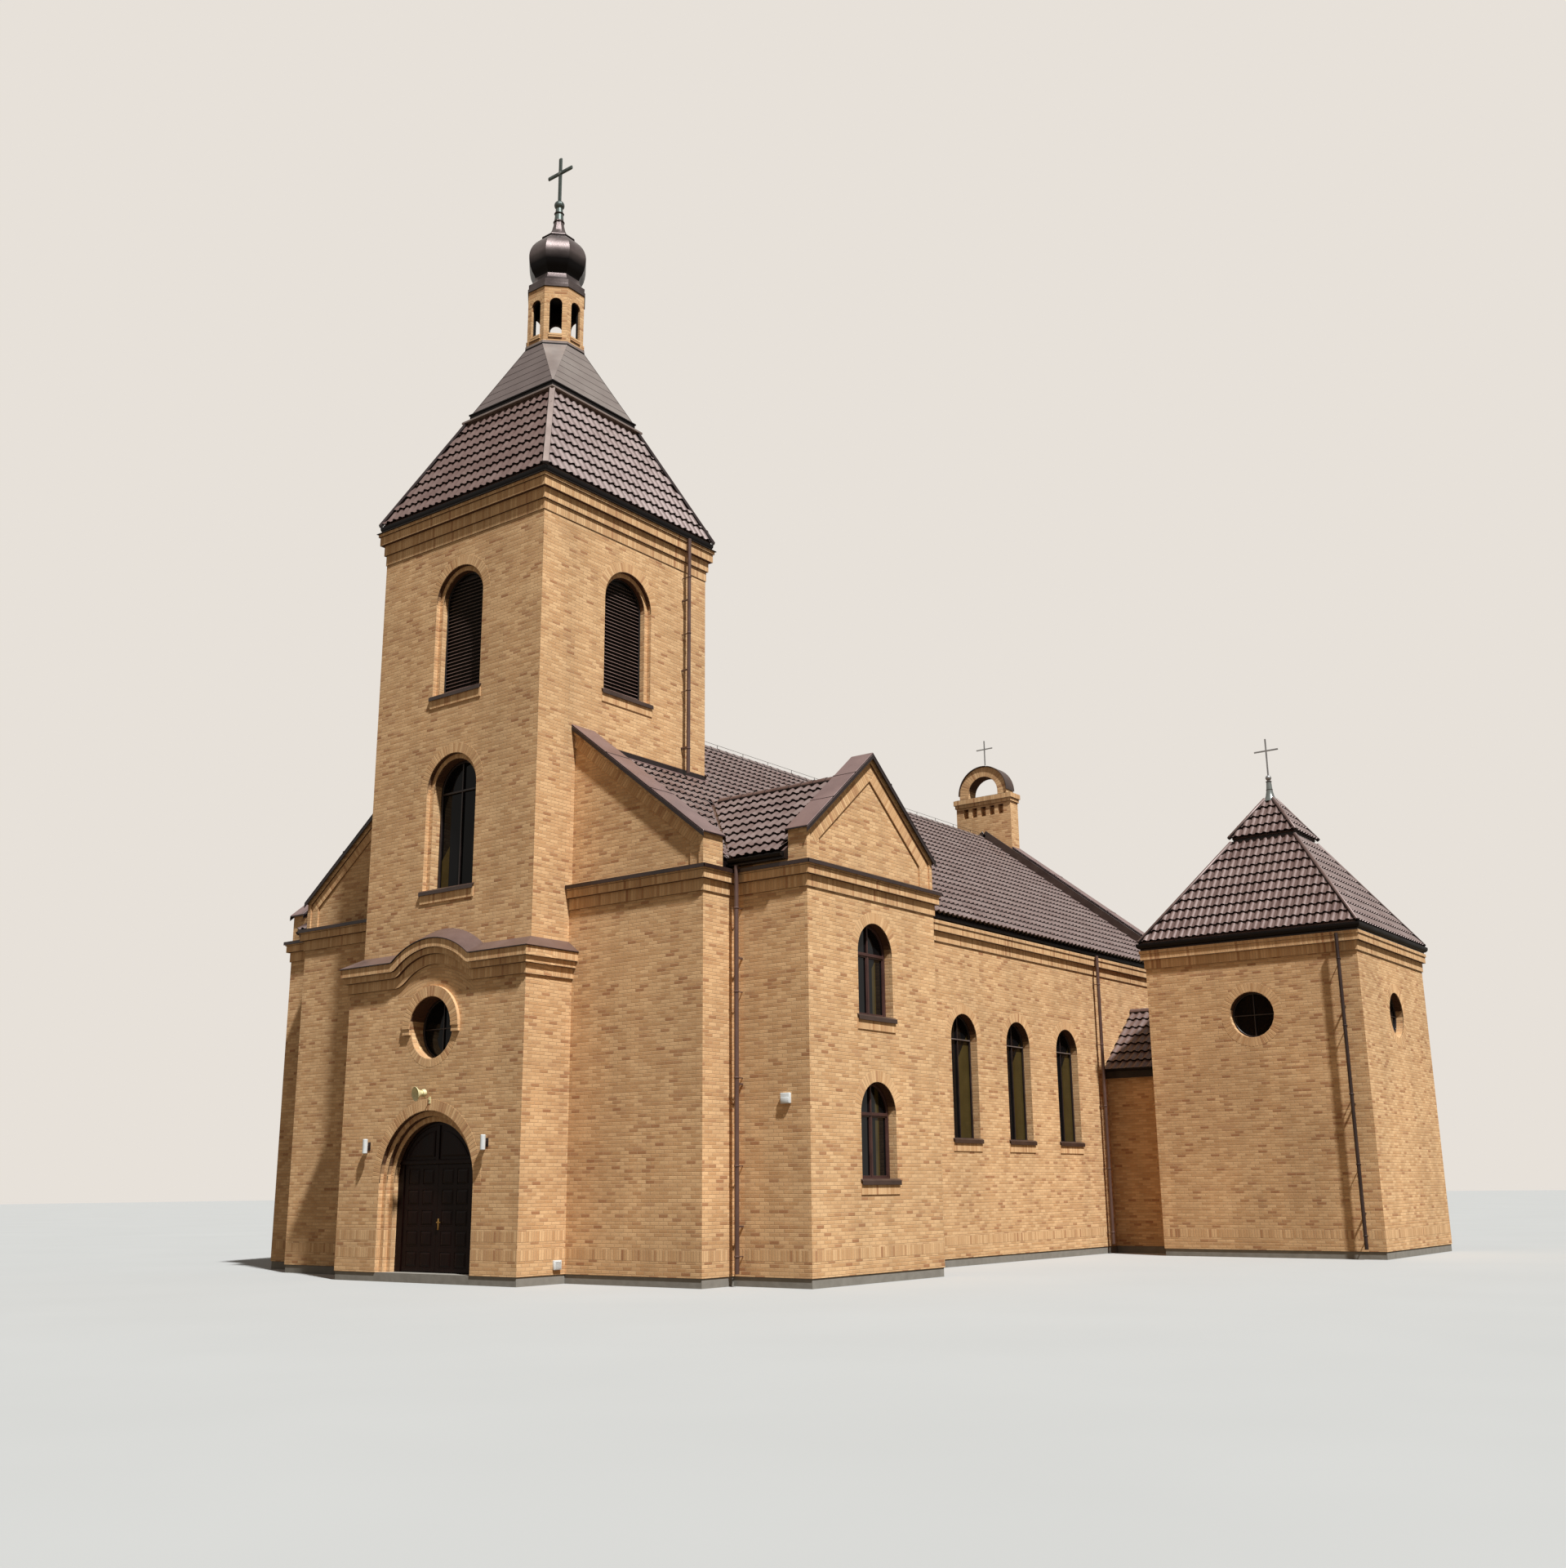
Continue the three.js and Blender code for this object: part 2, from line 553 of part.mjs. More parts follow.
// Sunk fields of the gables, under the raking band and beside the strip at the kneeler.
function naveGableOutline({ margin, strip }) {
  const edge = NAVE_HALF - strip;
  const line = (x) => PARAPET_RIDGE - margin - ROOF_PITCH * x;
  return outline([
    [-edge, CORNICE_TOP], [edge, CORNICE_TOP], [edge, line(edge)], [0, line(0)], [-edge, line(edge)],
  ]);
}

function frontGablePanels() {
  return joined(FRONT_PANELS.map((panel) => (
    alongY(naveGableOutline(panel), NAVE_FRONT - 50, NAVE_FRONT + panel.sink)
  )));
}

function endGablePanels() {
  return joined(FRONT_PANELS.map((panel) => (
    alongY(naveGableOutline(panel), NAVE_END - panel.sink, NAVE_END + 50)
  )));
}

function bayGablePanels() {
  return joined(BAY_PANELS.map(({ margin, strip, sink }) => {
    const line = (distance) => BAY_PARAPET.ridge - margin - BAY_PARAPET.pitch * distance;
    const edge = (BAY_BACK - BAY_FRONT) / 2 - strip;
    return alongX(outline([
      [BAY_MIDDLE_Y - edge, CORNICE_TOP], [BAY_MIDDLE_Y + edge, CORNICE_TOP],
      [BAY_MIDDLE_Y + edge, line(edge)], [BAY_MIDDLE_Y, line(0)], [BAY_MIDDLE_Y - edge, line(edge)],
    ]), BAY_HALF - sink, BAY_HALF + 50);
  }));
}

// A row of windows in a wall that faces X, with the slot that holds their common sheet of glass.
function sideWindowCuts(windows, wallFace) {
  const openings = windows.map((window) => {
    const shape = archShape(window, window.middle);
    return alongX(shape, wallFace - WALL - 20, wallFace + 20);
  });
  return joined(openings).add(sideGlassSheet(windows, wallFace, JOINT_GAP));
}

function sideGlassSheet(windows, wallFace, grow) {
  const edge = 60 + grow;
  const y0 = Math.min(...windows.map((w) => w.middle - w.half)) - edge;
  const y1 = Math.max(...windows.map((w) => w.middle + w.half)) + edge;
  const z0 = Math.min(...windows.map((w) => w.sill)) - edge;
  const z1 = Math.max(...windows.map((w) => w.crown)) + edge;
  const x1 = wallFace - GLASS_DEPTH + grow;
  return block(x1 - GLASS - 2 * grow, x1, y0, y1, z0, z1);
}

const NAVE_ROW = NAVE_WINDOWS_Y.map((middle) => ({ ...NAVE_WINDOW, middle }));
const BAY_ROW = [
  { ...BAY_LOWER_WINDOW, middle: BAY_MIDDLE_Y },
  { ...BAY_UPPER_WINDOW, middle: BAY_MIDDLE_Y },
];

function churchWalls() {
  const naveHollow = block(-NAVE_HALF + WALL, NAVE_HALF - WALL, NAVE_FRONT + GABLE_WALL,
    NAVE_END - WALL, 0, SKY);
  const bayHollow = block(-BAY_HALF + WALL, BAY_HALF - WALL, BAY_FRONT + WALL, BAY_BACK - WALL, 0, SKY);
  const towerHole = block(-TOWER_HALF - JOINT_GAP, TOWER_HALF + JOINT_GAP, 0,
    TOWER_DEPTH + JOINT_GAP, 0, SKY);
  const rightCuts = [bayGablePanels(), sideWindowCuts(NAVE_ROW, NAVE_HALF),
    sideWindowCuts(BAY_ROW, BAY_HALF)];
  const passage = block(NAVE_HALF - WALL - 20, NAVE_HALF + 20, LINK_MIDDLE_Y - PASSAGE.half,
    LINK_MIDDLE_Y + PASSAGE.half, 0, PASSAGE.top);
  const body = cutBy(naveBlock().add(bayBlock()), [
    naveRoofZone(), bayRoofZone(), naveHollow, bayHollow, towerHole, passage,
    frontGablePanels(), endGablePanels(),
    ...rightCuts, ...rightCuts.map(mirrored),
    block(-BELL_COTE.half - JOINT_GAP, BELL_COTE.half + JOINT_GAP, BELL_COTE.front - JOINT_GAP,
      BELL_COTE.back + JOINT_GAP, BELL_COTE_FOOT - JOINT_GAP, SKY),
  ]);
  const gableBack = NAVE_FRONT + GABLE_WALL;
  const naveSkin = NAVE_HALF + CORNICE_REACH;
  const gableCell = block(TOWER_HALF, BEYOND, 0, gableBack, 0, SKY);
  const bayCell = block(NAVE_HALF - WALL - 10, BEYOND, gableBack + JOINT_GAP, BAY_BACK, 0, SKY)
    .add(block(naveSkin + JOINT_GAP, BEYOND, BAY_BACK - 10, BAY_BACK + 400, 0, SKY));
  const naveCell = block(NAVE_HALF - WALL - 10, naveSkin + JOINT_GAP / 2, BAY_BACK + JOINT_GAP,
    NAVE_END - WALL - JOINT_GAP, 0, SKY);
  return [
    meshFrom('front_gable_wall_right', body.intersect(gableCell), brick),
    meshFrom('front_gable_wall_left', body.intersect(mirrored(gableCell)), brick),
    meshFrom('bay_walls_right', body.intersect(bayCell), brick),
    meshFrom('bay_walls_left', body.intersect(mirrored(bayCell)), brick),
    meshFrom('nave_wall_right', body.intersect(naveCell), brick),
    meshFrom('nave_wall_left', body.intersect(mirrored(naveCell)), brick),
    meshFrom('end_wall', body.intersect(
      block(-BEYOND, BEYOND, NAVE_END - WALL, NAVE_END + 400, 0, SKY)), brick),
  ];
}

const LINK_MIDDLE_Y = (LINK.front + LINK.back) / 2;
const BELL_COTE_FOOT = PARAPET_RIDGE - ROOF_PITCH * BELL_COTE.half - 400;

// Roofs of the nave and of the cross bays
function naveRoof() {
  const ridgeGap = JOINT_GAP / 2;
  const slope = alongY(outline([
    [ridgeGap, ROOF_RIDGE], [ridgeGap, ROOF_RIDGE - ROOF_THICKNESS],
    [(ROOF_RIDGE - ROOF_THICKNESS - EAVE_UNDERSIDE) / ROOF_PITCH, EAVE_UNDERSIDE],
    [EAVE_X, EAVE_UNDERSIDE], [EAVE_X, ROOF_RIDGE - ROOF_PITCH * EAVE_X],
  ]), NAVE_FRONT + GABLE_WALL + JOINT_GAP, NAVE_END - WALL - JOINT_GAP);
  const tower = block(-100, TOWER_HALF + JOINT_GAP, 0, TOWER_DEPTH + JOINT_GAP, 0, SKY);
  const bayNotch = block(NAVE_HALF, EAVE_X + 100, 0, bayEaveBack() + JOINT_GAP, 0, SKY);
  const bellCote = block(-BELL_COTE.half - JOINT_GAP, BELL_COTE.half + JOINT_GAP,
    BELL_COTE.front - JOINT_GAP, NAVE_END, 0, SKY);
  return cutBy(slope, [tower, bayNotch, bellCote]);
}

function bayEaveBack() {
  return 2 * BAY_MIDDLE_Y - BAY_EAVE_Y;
}

function bayRoof() {
  const reach = BAY_MIDDLE_Y - BAY_EAVE_Y;
  const eaveTop = BAY_RIDGE - BAY_PITCH * reach;
  const lipY = (BAY_RIDGE - ROOF_THICKNESS - BAY_EAVE_UNDERSIDE) / BAY_PITCH;
  const section = outline([
    [BAY_MIDDLE_Y - reach, eaveTop], [BAY_MIDDLE_Y - reach, BAY_EAVE_UNDERSIDE],
    [BAY_MIDDLE_Y - lipY, BAY_EAVE_UNDERSIDE], [BAY_MIDDLE_Y, BAY_RIDGE - ROOF_THICKNESS],
    [BAY_MIDDLE_Y + lipY, BAY_EAVE_UNDERSIDE], [BAY_MIDDLE_Y + reach, BAY_EAVE_UNDERSIDE],
    [BAY_MIDDLE_Y + reach, eaveTop], [BAY_MIDDLE_Y, BAY_RIDGE],
  ]);
  const tent = alongX(section, TOWER_HALF + 50, BAY_HALF - WALL - JOINT_GAP);
  const underNave = alongY(outline([
    [0, ROOF_RIDGE + JOINT_GAP], [0, 0], [NAVE_HALF + JOINT_GAP, 0],
    [NAVE_HALF + JOINT_GAP, ROOF_RIDGE + JOINT_GAP - ROOF_PITCH * (NAVE_HALF + JOINT_GAP)],
  ]), 0, TOWER_DEPTH + 3000);
  return tent.subtract(underNave);
}

// Roof of the main tower
function frustum(x0, y0, z0, x1, y1, z1) {
  const corners = [];
  [[x0, y0, z0], [x1, y1, z1]].forEach(([x, y, z]) => {
    [[-1, -1], [1, -1], [1, 1], [-1, 1]].forEach(([sx, sy]) => {
      corners.push(new THREE.Vector3(sx * x, sy * y, z));
    });
  });
  return solidFrom(new ConvexGeometry(corners));
}

function towerRoofLower() {
  const eaveX = TOWER_HALF + TOWER_EAVE;
  const eaveY = TOWER_DEPTH / 2 + TOWER_EAVE;
  const base = TOWER_TOP + JOINT_GAP;
  const eaveZ = base + TOWER_FASCIA;
  const dripX = TOWER_HALF + TOWER_DRIP.reach;
  const dripY = TOWER_DEPTH / 2 + TOWER_DRIP.reach;
  const outer = joined([
    frustum(eaveX, eaveY, eaveZ, LOWER_ROOF.half, LOWER_ROOF.half, LOWER_ROOF.top),
    block(-eaveX, eaveX, -eaveY, eaveY, base, eaveZ),
    block(-dripX, dripX, -dripY, dripY, base, base + TOWER_DRIP.sheet),
  ]);
  const inner = frustum(eaveX - WALL, eaveY - WALL, base - 10, LOWER_ROOF.half - ROOF_SHELL,
    LOWER_ROOF.half - ROOF_SHELL, LOWER_ROOF.top + 10);
  return outer.subtract(inner);
}

function octagonPoints(apothem, z) {
  const radius = apothem / Math.cos(Math.PI / 8);
  return Array.from({ length: 8 }, (_, i) => {
    const angle = Math.PI / 8 + (i * Math.PI) / 4;
    return new THREE.Vector3(radius * Math.cos(angle), radius * Math.sin(angle), z);
  });
}

function squareToOctagon(half, z0, apothem, z1) {
  const corners = [[-half, -half], [half, -half], [half, half], [-half, half]];
  const square = corners.map(([x, y]) => new THREE.Vector3(x, y, z0));
  return solidFrom(new ConvexGeometry([...square, ...octagonPoints(apothem, z1)]));
}

function towerRoofUpper() {
  const { half, bottom, octagon, top } = UPPER_ROOF;
  const collarBottom = LOWER_ROOF.top + JOINT_GAP;
  const collar = block(-half, half, -half, half, collarBottom, bottom);
  const cap = squareToOctagon(half, bottom, octagon, top);
  const inner = squareToOctagon(half - ROOF_SHELL, collarBottom - 10, octagon - ROOF_SHELL, top + 10);
  return collar.add(cap).subtract(inner);
}

function octagonPrism(apothem, z0, z1) {
  return solidFrom(new ConvexGeometry([...octagonPoints(apothem, z0), ...octagonPoints(apothem, z1)]));
}

function lantern() {
  const base = UPPER_ROOF.top + JOINT_GAP;
  const tube = octagonPrism(LANTERN.apothem, base, LANTERN.top);
  const cuts = [octagonPrism(LANTERN.inner, base - 10, LANTERN.top + 10)];
  for (let turn = 0; turn < 4; turn += 1) {
    const shape = archShape({ half: LANTERN.openHalf, sill: LANTERN.sill, crown: LANTERN.crown });
    const geometry = extruded(shape, 4 * LANTERN.apothem);
    geometry.rotateX(Math.PI / 2);
    geometry.translate(0, 2 * LANTERN.apothem, 0);
    geometry.rotateZ((turn * Math.PI) / 4);
    cuts.push(solidFrom(geometry));
  }
  return cutBy(tube, cuts);
}

// The onion dome is eight-sided; each pair is the half width across flats and the height.
function onionDome() {
  const base = LANTERN.top + JOINT_GAP;
  const profile = [
    [785, base], [785, 26050], [765, 26070], [765, 26190], [690, 26250], [625, 26350],
    [600, 26480], [640, 26560], [705, 26680], [735, 26820], [752, 26980], [768, 27120],
    [775, 27260], [755, 27390], [700, 27510], [615, 27610], [530, 27700], [455, 27780],
    [425, 27840], [330, 27900], [235, 27990], [185, 28130], [150, 28280], [125, 28480],
  ];
  const toCorner = 1 / Math.cos(Math.PI / 8);
  const points = profile.map(([half, z]) => new THREE.Vector2(half * toCorner, z));
  points.unshift(new THREE.Vector2(0, base));
  points.push(new THREE.Vector2(0, 28480));
  const geometry = new THREE.LatheGeometry(points, 8);
  geometry.rotateX(Math.PI / 2);
  geometry.rotateZ(Math.PI / 8);
  return solidFrom(geometry);
}

// A finial with a ball and a plain cross of square bar, standing on its own foot.
function crossFinial({ foot, neck, ballZ, ballRadius, top, armZ, armHalf, bar, stemRadius }) {
  const profile = [
    new THREE.Vector2(0, foot), new THREE.Vector2(stemRadius * 1.15, foot),
    new THREE.Vector2(stemRadius * 0.85, neck), new THREE.Vector2(0, neck),
  ];
  const stem = new THREE.LatheGeometry(profile, 16);
  stem.rotateX(Math.PI / 2);
  const ball = new THREE.SphereGeometry(ballRadius, 16, 10);
  ball.translate(0, 0, ballZ);
  return joined([
    solidFrom(stem), solidFrom(ball),
    block(-bar, bar, -bar, bar, ballZ, top),
    block(-armHalf, armHalf, -bar, bar, armZ - bar, armZ + bar),
  ]);
}

// Louvred shutter of the belfry; its slats are finer than this solid.
function louvrePanel() {
  const reach = HALF_BRICK + JOINT_GAP;
  const shape = archShape({ ...BELFRY_WINDOW, sill: BELFRY_WINDOW.sill + JOINT_GAP }, 0, reach);
  return alongY(shape, -40, 40);
}

function windowPane(window, shrink) {
  const shape = archShape({ ...window, sill: window.sill + JOINT_GAP }, 0, shrink + JOINT_GAP);
  return alongY(shape, 0, GLASS);
}

function roundPane(radius) {
  return alongY(circleShape(radius - JOINT_GAP, 0, 0), 0, GLASS);
}

// Floors
function churchFloor() {
  const inset = PLINTH_SETBACK;
  return joined([
    block(-NAVE_HALF + inset, NAVE_HALF - inset, NAVE_FRONT + inset, NAVE_END - inset, 0, FLOOR_TOP),
    block(-BAY_HALF + inset, BAY_HALF - inset, BAY_FRONT + inset, BAY_BACK - inset, 0, FLOOR_TOP),
    block(-PORCH_HALF + inset, PORCH_HALF - inset, PORCH_FRONT + inset, NAVE_FRONT + inset + 50,
      0, FLOOR_TOP),
  ]);
}

function sideFloor() {
  const inset = PLINTH_SETBACK;
  const { left, right, front, back } = SIDE_TOWER;
  return block(left + inset, right - inset, front + inset, back - inset, 0, FLOOR_TOP)
    .add(block(NAVE_HALF + JOINT_GAP, left + inset + 50, LINK.front + inset, LINK.back - inset,
      0, FLOOR_TOP));
}

// The choir gallery wraps the tower and runs on into it through an arch.
function galleryFloor() {
  const z0 = GALLERY_TOP - FLOOR_THICKNESS;
  const gap = JOINT_GAP;
  const back = BAY_BACK - WALL - gap;
  const wing = block(TOWER_HALF + gap, NAVE_HALF - WALL - gap, NAVE_FRONT + GABLE_WALL + gap, back,
    z0, GALLERY_TOP).add(block(NAVE_HALF - WALL - 50, BAY_HALF - WALL - gap, BAY_FRONT + WALL + gap,
    back, z0, GALLERY_TOP));
  const bridge = block(-TOWER_HALF - 50, TOWER_HALF + 50, TOWER_DEPTH + gap, back, z0, GALLERY_TOP);
  const tongue = block(-GALLERY_ARCH.half + gap, GALLERY_ARCH.half - gap, TOWER_DEPTH - WALL - 50,
    TOWER_DEPTH + 50, z0 + gap, GALLERY_TOP);
  const room = block(-TOWER_HALF + WALL + gap, TOWER_HALF - WALL - gap, WALL + gap,
    TOWER_DEPTH - WALL - gap, z0, GALLERY_TOP);
  return joined([wing, mirrored(wing), bridge, tongue, room]);
}

function belfryFloor() {
  const gap = JOINT_GAP;
  return block(-TOWER_HALF + WALL + gap, TOWER_HALF - WALL - gap, WALL + gap, TOWER_DEPTH - WALL - gap,
    BELFRY_FLOOR_TOP - FLOOR_THICKNESS, BELFRY_FLOOR_TOP);
}

// Bell-cote: a pier with five pockets under a small cornice and a brick ring on it
function bellCote() {
  const { half, front, back, cornice, ring } = BELL_COTE;
  const pier = block(-half, half, front, back, BELL_COTE_FOOT, ring);
  const lowBand = block(-half - 40, half + 40, front - 40, back + 40, cornice + 70, cornice + 200);
  const topBand = block(-half - 80, half + 80, front - 80, back + 80, cornice + 200, ring);
  const { outer, centre } = BELL_RING;
  const stilts = block(-outer, outer, front + 20, back - 20, ring - 10, centre);
  const disc = alongY(circleShape(outer, 0, centre), front + 20, back - 20)
    .intersect(block(-outer, outer, front, back, centre - 10, SKY));
  const opening = alongY(archShape({
    half: BELL_RING.inner, sill: ring, crown: BELL_RING.centre + BELL_RING.inner,
  }), front - 100, back + 100);
  const pockets = [-2, -1, 0, 1, 2].map((step) => (
    block(step * 370 - 105, step * 370 + 105, front - 20, front + 240, cornice - 350, cornice)
  ));
  return cutBy(joined([pier, lowBand, topBand, stilts, disc]), [opening, ...pockets]);
}

// Link between the nave and the side tower
function linkWall(y0) {
  const x0 = NAVE_HALF + JOINT_GAP;
  const x1 = SIDE_TOWER.left - JOINT_GAP;
  const underside = (y) => LINK.ridge - 250 - LINK.pitch * Math.abs(LINK_MIDDLE_Y - y) - JOINT_GAP;
  const y1 = y0 + LINK.wall;
  return alongX(outline([
    [y0, FLOOR_TOP + JOINT_GAP], [y1, FLOOR_TOP + JOINT_GAP], [y1, underside(y1)], [y0, underside(y0)],
  ]), x0, x1);
}

function linkRoof() {
  const reach = LINK_MIDDLE_Y - LINK.eave;
  const section = outline([
    [LINK_MIDDLE_Y - reach, LINK.ridge - LINK.pitch * reach],
    [LINK_MIDDLE_Y - reach, LINK.ridge - 250 - LINK.pitch * reach],
    [LINK_MIDDLE_Y, LINK.ridge - 250],
    [LINK_MIDDLE_Y + reach, LINK.ridge - 250 - LINK.pitch * reach],
    [LINK_MIDDLE_Y + reach, LINK.ridge - LINK.pitch * reach],
    [LINK_MIDDLE_Y, LINK.ridge],
  ]);
  return alongX(section, NAVE_HALF + JOINT_GAP, SIDE_TOWER.left - JOINT_GAP);
}

// Side tower, drawn around its own middle
const SIDE_HALF_X = (SIDE_TOWER.right - SIDE_TOWER.left) / 2;
const SIDE_HALF_Y = (SIDE_TOWER.back - SIDE_TOWER.front) / 2;
const SIDE_MIDDLE_X = (SIDE_TOWER.right + SIDE_TOWER.left) / 2;
const SIDE_MIDDLE_Y = (SIDE_TOWER.back + SIDE_TOWER.front) / 2;

function sideTowerWalls() {
  const base = FLOOR_TOP + JOINT_GAP;
  const { top } = SIDE_TOWER;
  const box = block(-SIDE_HALF_X, SIDE_HALF_X, -SIDE_HALF_Y, SIDE_HALF_Y, base, top);
  const cornice = corniceRound(-SIDE_HALF_X, SIDE_HALF_X, -SIDE_HALF_Y, SIDE_HALF_Y, top, EAVES_CORNICE);
  const hollow = block(-SIDE_HALF_X + WALL, SIDE_HALF_X - WALL, -SIDE_HALF_Y + WALL,
    SIDE_HALF_Y - WALL, 0, SKY);
  const round = circleShape(SIDE_ROUND.radius, 0, SIDE_ROUND.height);
  const passageMiddle = LINK_MIDDLE_Y - SIDE_MIDDLE_Y;
  return cutBy(box.add(cornice), [
    hollow,
    alongY(round, -SIDE_HALF_Y - 20, SIDE_HALF_Y + 20),
    alongX(round, 0, SIDE_HALF_X + 20),
    block(-SIDE_HALF_X - 20, -SIDE_HALF_X + WALL + 20, passageMiddle - PASSAGE.half,
      passageMiddle + PASSAGE.half, 0, PASSAGE.top),
  ]);
}

function sideTowerRoof() {
  const base = SIDE_TOWER.top + JOINT_GAP;
  const { eave, step, stepZ, cap, capZ, apexZ } = SIDE_ROOF;
  const tip = 60;
  const outer = joined([
    block(-eave, eave, -eave, eave, base, base + SIDE_FASCIA),
    frustum(eave, eave, base + SIDE_FASCIA, step, step, stepZ),
    block(-step, step, -step, step, stepZ - 20, capZ),
    frustum(cap, cap, capZ - 60, tip, tip, apexZ),
  ]);
  const ceiling = step - ROOF_SHELL * 2;
  const inner = frustum(eave - WALL, eave - WALL, base - 10, ceiling, ceiling, stepZ);
  return outer.subtract(inner);
}

// Gutters and drainpipes
function drainpipe(x, y, top, wallDirection, wallDistance, bottom = PIPE_BOTTOM) {
  const pipe = new THREE.CylinderGeometry(PIPE_RADIUS, PIPE_RADIUS, top - bottom, 12);
  pipe.rotateX(Math.PI / 2);
  pipe.translate(x, y, (top + bottom) / 2);
  const [dx, dy] = wallDirection;
  const reach = wallDistance - JOINT_GAP;
  const clipWidth = 20;
  const clips = [0.12, 0.5, 0.85].map((share) => {
    const z = bottom + share * (top - 900 - bottom);
    const x0 = Math.min(x, x + dx * reach) - Math.abs(dy) * clipWidth;
    const x1 = Math.max(x, x + dx * reach) + Math.abs(dy) * clipWidth;
    const y0 = Math.min(y, y + dy * reach) - Math.abs(dx) * clipWidth;
    const y1 = Math.max(y, y + dy * reach) + Math.abs(dx) * clipWidth;
    return block(x0, x1, y0, y1, z, z + 40);
  });
  return joined([solidFrom(pipe), ...clips]);
}

function naveGutter() {
  const y0 = bayEaveBack() + 50;
  const y1 = NAVE_END - WALL - JOINT_GAP;
  const x0 = EAVE_X + JOINT_GAP;
  const width = 130;
  const trough = new THREE.Shape();
  trough.moveTo(x0, 8880);
  trough.lineTo(x0, 8815);
  trough.absarc(x0 + width / 2, 8815, width / 2, Math.PI, Math.PI * 2, false);
  trough.lineTo(x0 + width, 8870);
  trough.lineTo(x0 + width - 8, 8870);
  trough.absarc(x0 + width / 2, 8815, width / 2 - 8, 0, -Math.PI, true);
  trough.lineTo(x0 + 8, 8880);
  trough.closePath();
  const gutter = alongY(trough, y0, y1);
  const pipe = drainpipe(NAVE_HALF + PIPE_STAND, 19750, 8740, [-1, 0], PIPE_STAND);
  const outletX = NAVE_HALF + PIPE_STAND;
  const elbow = block(outletX - 40, x0 + width / 2 + 40, 19710, 19790, 8660, 8740);
  const outlet = block(x0 + 20, x0 + width / 2 + 40, 19710, 19790, 8700, 8755);
  return joined([gutter, pipe, elbow, outlet]);
}

const church = new THREE.Group();
church.name = 'church';

function put(group, name, solid, material, x = 0, y = 0, z = 0, turn = 0) {
  const mesh = meshFrom(name, solid, material);
  mesh.position.set(x, y, z);
  mesh.rotation.z = turn;
  group.add(mesh);
}

const shell = new THREE.Group();
church.add(shell);
put(shell, 'church_floor', churchFloor(), concrete);
put(shell, 'gallery_floor', galleryFloor(), concrete);
put(shell, 'belfry_floor', belfryFloor(), concrete);
towerWalls().forEach((mesh) => shell.add(mesh));
churchWalls().forEach((mesh) => shell.add(mesh));
put(shell, 'porch_flashing', porchFlashing(), sheetMetal);
put(shell, 'bell_cote', bellCote(), brick);

const roofs = new THREE.Group();
church.add(roofs);
put(roofs, 'nave_roof_right', naveRoof(), tile);
put(roofs, 'nave_roof_left', mirrored(naveRoof()), tile);
put(roofs, 'bay_roof_right', bayRoof(), tile);
put(roofs, 'bay_roof_left', mirrored(bayRoof()), tile);
put(roofs, 'nave_gutter_right', naveGutter(), darkMetal);
put(roofs, 'nave_gutter_left', mirrored(naveGutter()), darkMetal);

// Everything over the tower walls is centred on the tower's middle.
const spire = new THREE.Group();
spire.position.set(0, TOWER_MIDDLE_Y, 0);
church.add(spire);
put(spire, 'tower_roof_lower', towerRoofLower(), tile);
put(spire, 'tower_roof_upper', towerRoofUpper(), sheetMetal);
put(spire, 'lantern', lantern(), brick);
put(spire, 'onion_dome', onionDome(), darkMetal);
put(spire, 'tower_cross', crossFinial({
  foot: 28480 + JOINT_GAP, neck: 28890, ballZ: 28985, ballRadius: 145, top: 30520, armZ: 30045,
  armHalf: 465, bar: 28, stemRadius: 115,
}), castIron);
[['front', 0, -TOWER_DEPTH / 2], ['right', Math.PI / 2, TOWER_HALF], ['back', Math.PI, TOWER_DEPTH / 2],
  ['left', -Math.PI / 2, -TOWER_HALF]].forEach(([side, turn, face], i) => {
  const inward = face - Math.sign(face) * LOUVRE_DEPTH;
  const place = i % 2 === 0 ? [0, inward] : [inward, 0];
  put(spire, `belfry_louvre_${side}`, louvrePanel(), wood, place[0], place[1], 0, turn);
});

const openings = new THREE.Group();
church.add(openings);
put(openings, 'tower_window', windowPane(TALL_WINDOW, HALF_BRICK), glass, 0, 400, 0);
put(openings, 'oculus_window', roundPane(OCULUS.radius), glass, 0, OCULUS_GLASS_Y, OCULUS.height);
put(openings, 'nave_windows_right', sideGlassSheet(NAVE_ROW, NAVE_HALF, 0), glass);
put(openings, 'nave_windows_left', mirrored(sideGlassSheet(NAVE_ROW, NAVE_HALF, 0)), glass);
put(openings, 'bay_windows_right', sideGlassSheet(BAY_ROW, BAY_HALF, 0), glass);
put(openings, 'bay_windows_left', mirrored(sideGlassSheet(BAY_ROW, BAY_HALF, 0)), glass);
put(openings, 'door_frame', doorFrame(), wood);
put(openings, 'door_leaf_right', doorLeaf(true), wood);
put(openings, 'door_leaf_left', mirrored(doorLeaf(false)), wood);

const link = new THREE.Group();
church.add(link);
put(link, 'side_floor', sideFloor(), concrete);
put(link, 'link_front_wall', linkWall(LINK.front), brick);
put(link, 'link_back_wall', linkWall(LINK.back - LINK.wall), brick);
put(link, 'link_roof', linkRoof(), tile);

